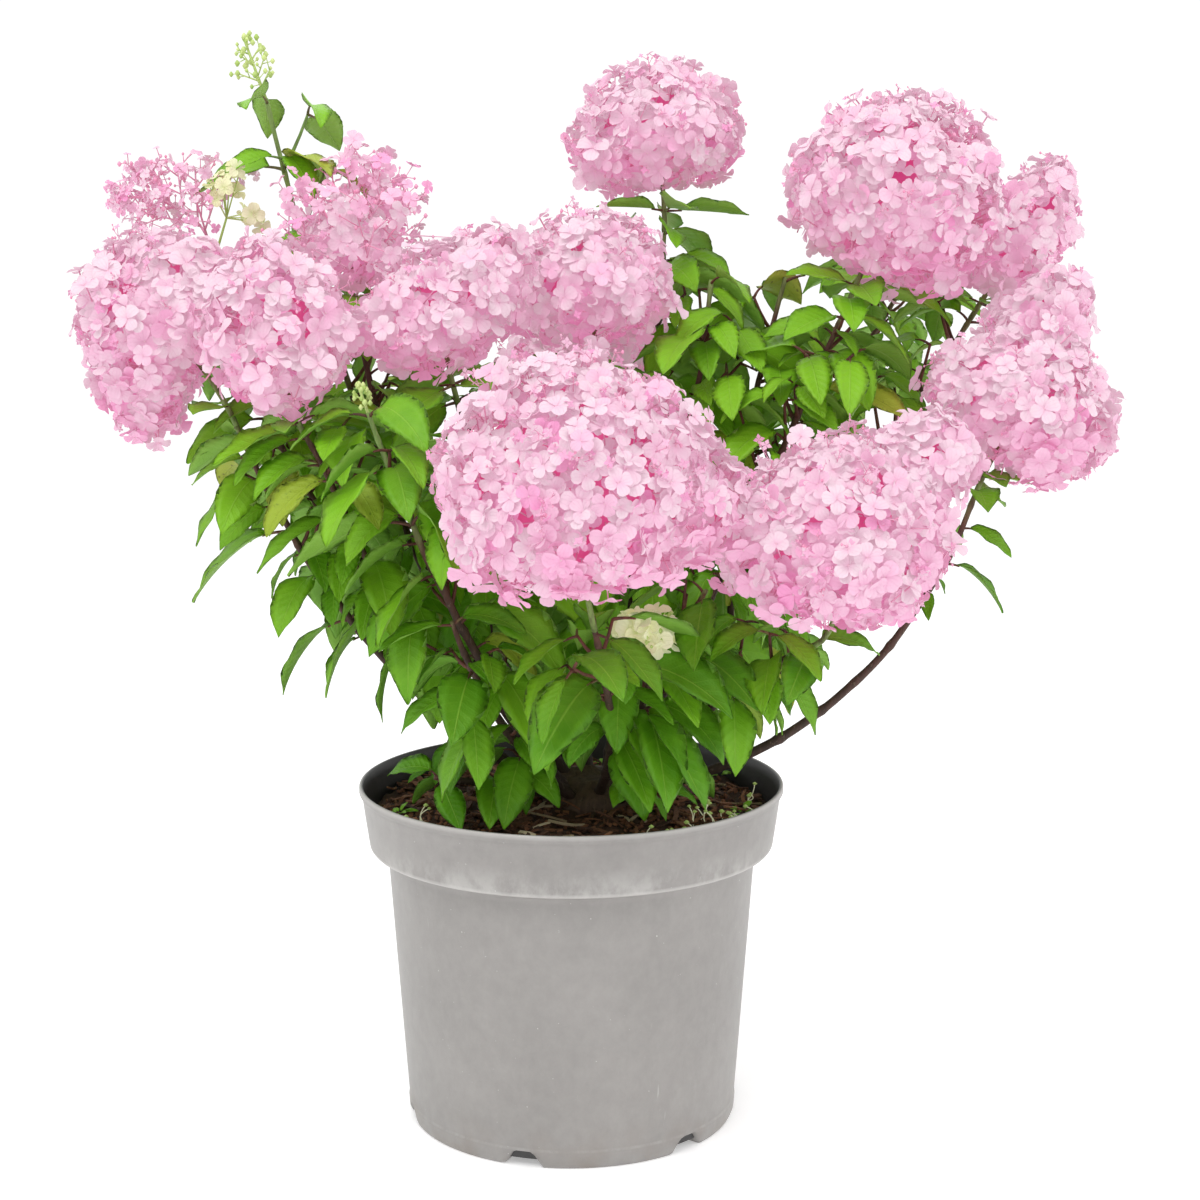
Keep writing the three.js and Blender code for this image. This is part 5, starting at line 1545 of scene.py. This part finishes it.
# lighter bands on the rim's top and the collar's foot, and the ledge's painted highlight
pale_bands_and_ledge_highlight = ramp(height, 0.2068, 0.2092).math("MAXIMUM", collar_foot)
pale_bands_and_ledge_highlight = pale_bands_and_ledge_highlight.math("MAXIMUM", foot_ledge_highlight * ramp(frost, 0.45, 0.65, 0.06, 0.5))
specks = ramp(noise(tree, 560, 1), 0.79, 0.82, 0, 0.8)
scratches = ramp(noise(tree, 340, 2, (1, 1, 0.05)), 0.74, 0.79, 0, 0.3)
mud = ramp(height, 0.030, 0.0) * ramp(noise(tree, 40, 5), 0.45, 0.65)
colour = mix(ramp(cloud * 0.6 + mottle * 0.6, 0.42, 0.78), PLASTIC_DARK, PLASTIC_LIGHT)
for share, other in ((frosted * 0.5, FROST), (pale_bands_and_ledge_highlight * 0.5, PALE_BAND_GREY),
                     (specks.math("MAXIMUM", scratches), SPECK), (mud * 0.35, MUD),
                     (number(tree, "inside"), SHADED)):
    colour = mix(share, colour, other)
link(colour, shader, "Base Color")
link(ramp(frosted, 0, 1, 0.42, 0.7), shader, "Roughness")
set_bump(shader, cloud * 1.2 + (mottle * 0.25 + grain * 0.10), 0.0012, 0.4)

inside = [0] * (len(OUTSIDE) - 1) + [0.3] + [1] * len(INSIDE)
pot = make_piece("nursery_pot", pot_points, turned_faces(len(pot_points), POT_COLUMNS), [plastic],
                 ["pot"], fields=dict(inside=inside))
shape = bmesh.new()
shape.from_mesh(pot.data)
bmesh.ops.remove_doubles(shape, verts=shape.verts, dist=WELD)
bmesh.ops.dissolve_degenerate(shape, edges=shape.edges, dist=WELD)
shape.to_mesh(pot.data)
shape.free()

# %% [markdown]
# Compost is a crumbly heap: a disc pushed up and down by noise of several sizes, with hundreds of bark
# shreds, crumbs and a few pale sticks lying on it at every angle. The loose bits give it its look, and
# the surface below them only has to be dark and rough.

# %% Compost
EARTH_ROWS, EARTH_COLUMNS = 60, 180
EARTH_WALL = 124.2
COMPOST_LEVEL, CROWN, AT_WALL = 192, 5, 1.5
EARTH_SKIRT = [(122.4, 184), (120.6, 178.0), (109.8, 174.0), (97.8, 12), (4, 11)]


def earth_height(x, y):
    """Level + crown * (1 - (r / wall)^2) + three sizes of noise, lower at the wall."""
    flat = np.stack([x, y, 0 * x], -1)
    r = np.hypot(x, y) / EARTH_WALL
    bumps = 6 * (lattice_noise(flat, 26, 21) - 0.5) + 3.5 * (lattice_noise(flat, 9, 22) - 0.5)
    fine_bumps = 2.4 * (lattice_noise(flat, 3.4, 23) - 0.5)
    return COMPOST_LEVEL + CROWN * (1 - r * r) + bumps + fine_bumps - AT_WALL * r ** 8


def finish_earth(name, dark, light):
    """Dark crumbs to reddish bark by the piece's tint."""
    material, tree, shader = new_finish(name, 0.92)
    crumbs = noise(tree, 700, 5, None, 0.7)
    tone = number(tree, "tint") + (crumbs - 0.5) * 0.9
    link(mix(ramp(tone, 0, 1), dark, light), shader, "Base Color")
    set_bump(shader, crumbs, 0.0016, 1.0)
    return material


EARTH = finish_earth("compost_earth", (0.018, 0.009, 0.005), (0.110, 0.050, 0.026))
BARK_CHIP = finish_earth("bark_chip", (0.045, 0.018, 0.009), (0.300, 0.130, 0.060))
DRY_STICK = finish_earth("dry_stick", (0.330, 0.235, 0.130), (0.720, 0.600, 0.400))

turn = circle(EARTH_COLUMNS)
out = np.linspace(0.02, 1, EARTH_ROWS)[:, None] * EARTH_WALL
x, y = out * np.cos(turn), out * np.sin(turn)
skirt = [np.stack([r * np.cos(turn), r * np.sin(turn), 0 * turn + z], -1) for r, z in EARTH_SKIRT]
earth = np.concatenate([np.stack([x, y, earth_height(x, y)], -1), skirt])
make_piece("compost_bed", earth, turned_faces(len(earth), EARTH_COLUMNS, flip=True), [EARTH],
           ["compost"], fields=dict(tint=0.25 + 0.5 * lattice_noise(earth, 7, 24)))

# %% Loose bits on the compost
CHIP_STEPS = 4
CHIP_EDGE = 118


def scatter(count, seed, edge):
    """Places spread evenly over the disc: radius = edge * sqrt(random), lying on the earth."""
    draw = np.random.default_rng(seed)
    r, turn = edge * np.sqrt(draw.random(count)), draw.random(count) * 2 * math.pi
    x, y = r * np.cos(turn), r * np.sin(turn)
    return np.stack([x, y, earth_height(x, y)], -1), draw


def chips(count, seed, lengths, widths, thickness, tilt, raised):
    """Bent, tapered flakes: a box of three steps along its length, bowed up in the middle, at any turn."""
    place, draw = scatter(count, seed, CHIP_EDGE)
    one_each = (count, 1, 1)
    share = np.linspace(-0.5, 0.5, CHIP_STEPS)
    length = draw.uniform(*lengths, one_each)
    width = draw.uniform(*widths, one_each) * (1 - 1.4 * share ** 2 * draw.random((count, 1)))[..., None]
    share = share[None, :, None]
    corner_y = np.array([-1, 1, 1, -1]) * 0.5
    corner_z = np.array([-1, -1, 1, 1]) * 0.5
    bow = draw.uniform(-0.1, 0.22, one_each)
    x = share * length + 0 * corner_y
    y = width * corner_y + 0.18 * length * draw.uniform(-1, 1, one_each) * share ** 2 * 4
    z = thickness * corner_z + bow * length * (0.25 - share ** 2) + 0 * x
    heading, pitch = draw.random(one_each) * 6.3, draw.normal(0, tilt, one_each)
    y, z = turned(y, z, draw.normal(0, tilt * 1.5, one_each))
    x, z = turned(x, z, pitch)
    x, y = turned(x, y, heading)
    z = z + raised + length * np.abs(np.sin(pitch)) * 0.32
    points = np.stack([x, y, z], -1) + place[:, None, None]
    reach = np.hypot(points[..., 0], points[..., 1]).max((1, 2))
    points[..., :2] *= np.minimum(1, (EARTH_WALL - 0.5) / reach)[:, None, None, None]
    faces = np.concatenate(turned_faces(CHIP_STEPS, len(corner_y), flip=True))
    return points, repeat_faces([faces], count, CHIP_STEPS * len(corner_y)), draw.random(count)


for name, material, settings in (
        ("bark_crumbs", BARK_CHIP, (1500, 31, (1.6, 5), (1.2, 3.6), 1.3, 0.5, 0.6)),
        ("bark_shreds", BARK_CHIP, (620, 32, (6, 22), (1.2, 4.2), 0.9, 0.2, 1.2)),
        ("dry_sticks", DRY_STICK, (34, 33, (8, 26), (1.2, 2.8), 1.1, 0.16, 1.9))):
    points, faces, tint = chips(*settings)
    make_piece(name, points, faces, [material], fields=dict(tint=tint), smooth=False)

# %% [markdown]
# Small weeds have found the pot: round heads on pale threads near the rim, and a few low rosettes. They
# use the leaf and tube functions again at a smaller size.

# %% Seedlings
# x and y of a patch, its spread and its number of seedlings
PATCHES = [(84, -58, 9, 12), (100, -42, 6, 7), (64, -94, 9, 12), (-96, -52, 6, 5), (-70, -86, 5, 4),
           (62, 86, 8, 6), (-62, 82, 6, 4), (-20, 100, 6, 3), (110, 12, 4, 3)]
THREAD, THREAD_SIDES = 0.3, 5
draw = np.random.default_rng(41)
feet = np.concatenate([[x, y] + draw.normal(0, spread, (count, 2)) for x, y, spread, count in PATCHES])
feet = feet[np.hypot(*feet.T) < EARTH_WALL - 8]
count = len(feet)
foot = np.column_stack([feet, earth_height(feet[:, 0], feet[:, 1]) - 1])
grown = draw.uniform(4, 15, count)
tip = foot + np.column_stack([draw.uniform(-6, 6, (count, 2)), grown])
share = np.linspace(0, 1, 6)[None, :, None]
bend = np.column_stack([draw.uniform(-4, 4, (count, 2)), np.zeros(count)])[:, None]
threads = foot[:, None] + (tip - foot)[:, None] * share + bend * np.sin(share * math.pi)
points, faces = tubes(threads, THREAD, THREAD_SIDES)
make_piece("seedling_threads", points, faces, [CREAM], (), OFF_VEINS, dict(deep=0.2))
points = tip[:, None] + ball[None] * draw.uniform(1.0, 1.6, count)[:, None, None] * [1.25, 1.25, 0.7]
faces = repeat_faces(ball_faces, count, len(ball))
make_piece("seedling_heads", points, faces, [GREEN_BUD], (), OFF_VEINS, dict(deep=0.9))

# %% Weeds
WEEDS = [(86, -78), (66, -92), (58, -98), (74, -88), (52, -90), (104, -28), (-84, -74), (-104, -30),
         (20, 104), (-70, 90), (94, 66)]
WEED_LEAVES = 7
weed_leaves = []
for x, y in WEEDS:
    root = np.array([x, y, earth_height(np.array(x, float), np.array(y, float)) + 1])
    for k in range(WEED_LEAVES):
        weed_leaves.append(dict(root=root, heading=k * GOLDEN + draw.random(), rise=draw.uniform(0.5, 1.1),
                                blade=draw.uniform(5, 9), petiole=draw.uniform(2, 5),
                                roll=draw.uniform(-0.3, 0.3), droop=draw.uniform(0.6, 1.2),
                                width=draw.uniform(3, 5)))
leaf_piece("weeds", weed_leaves, 42, (), tint=0.8, age=0)
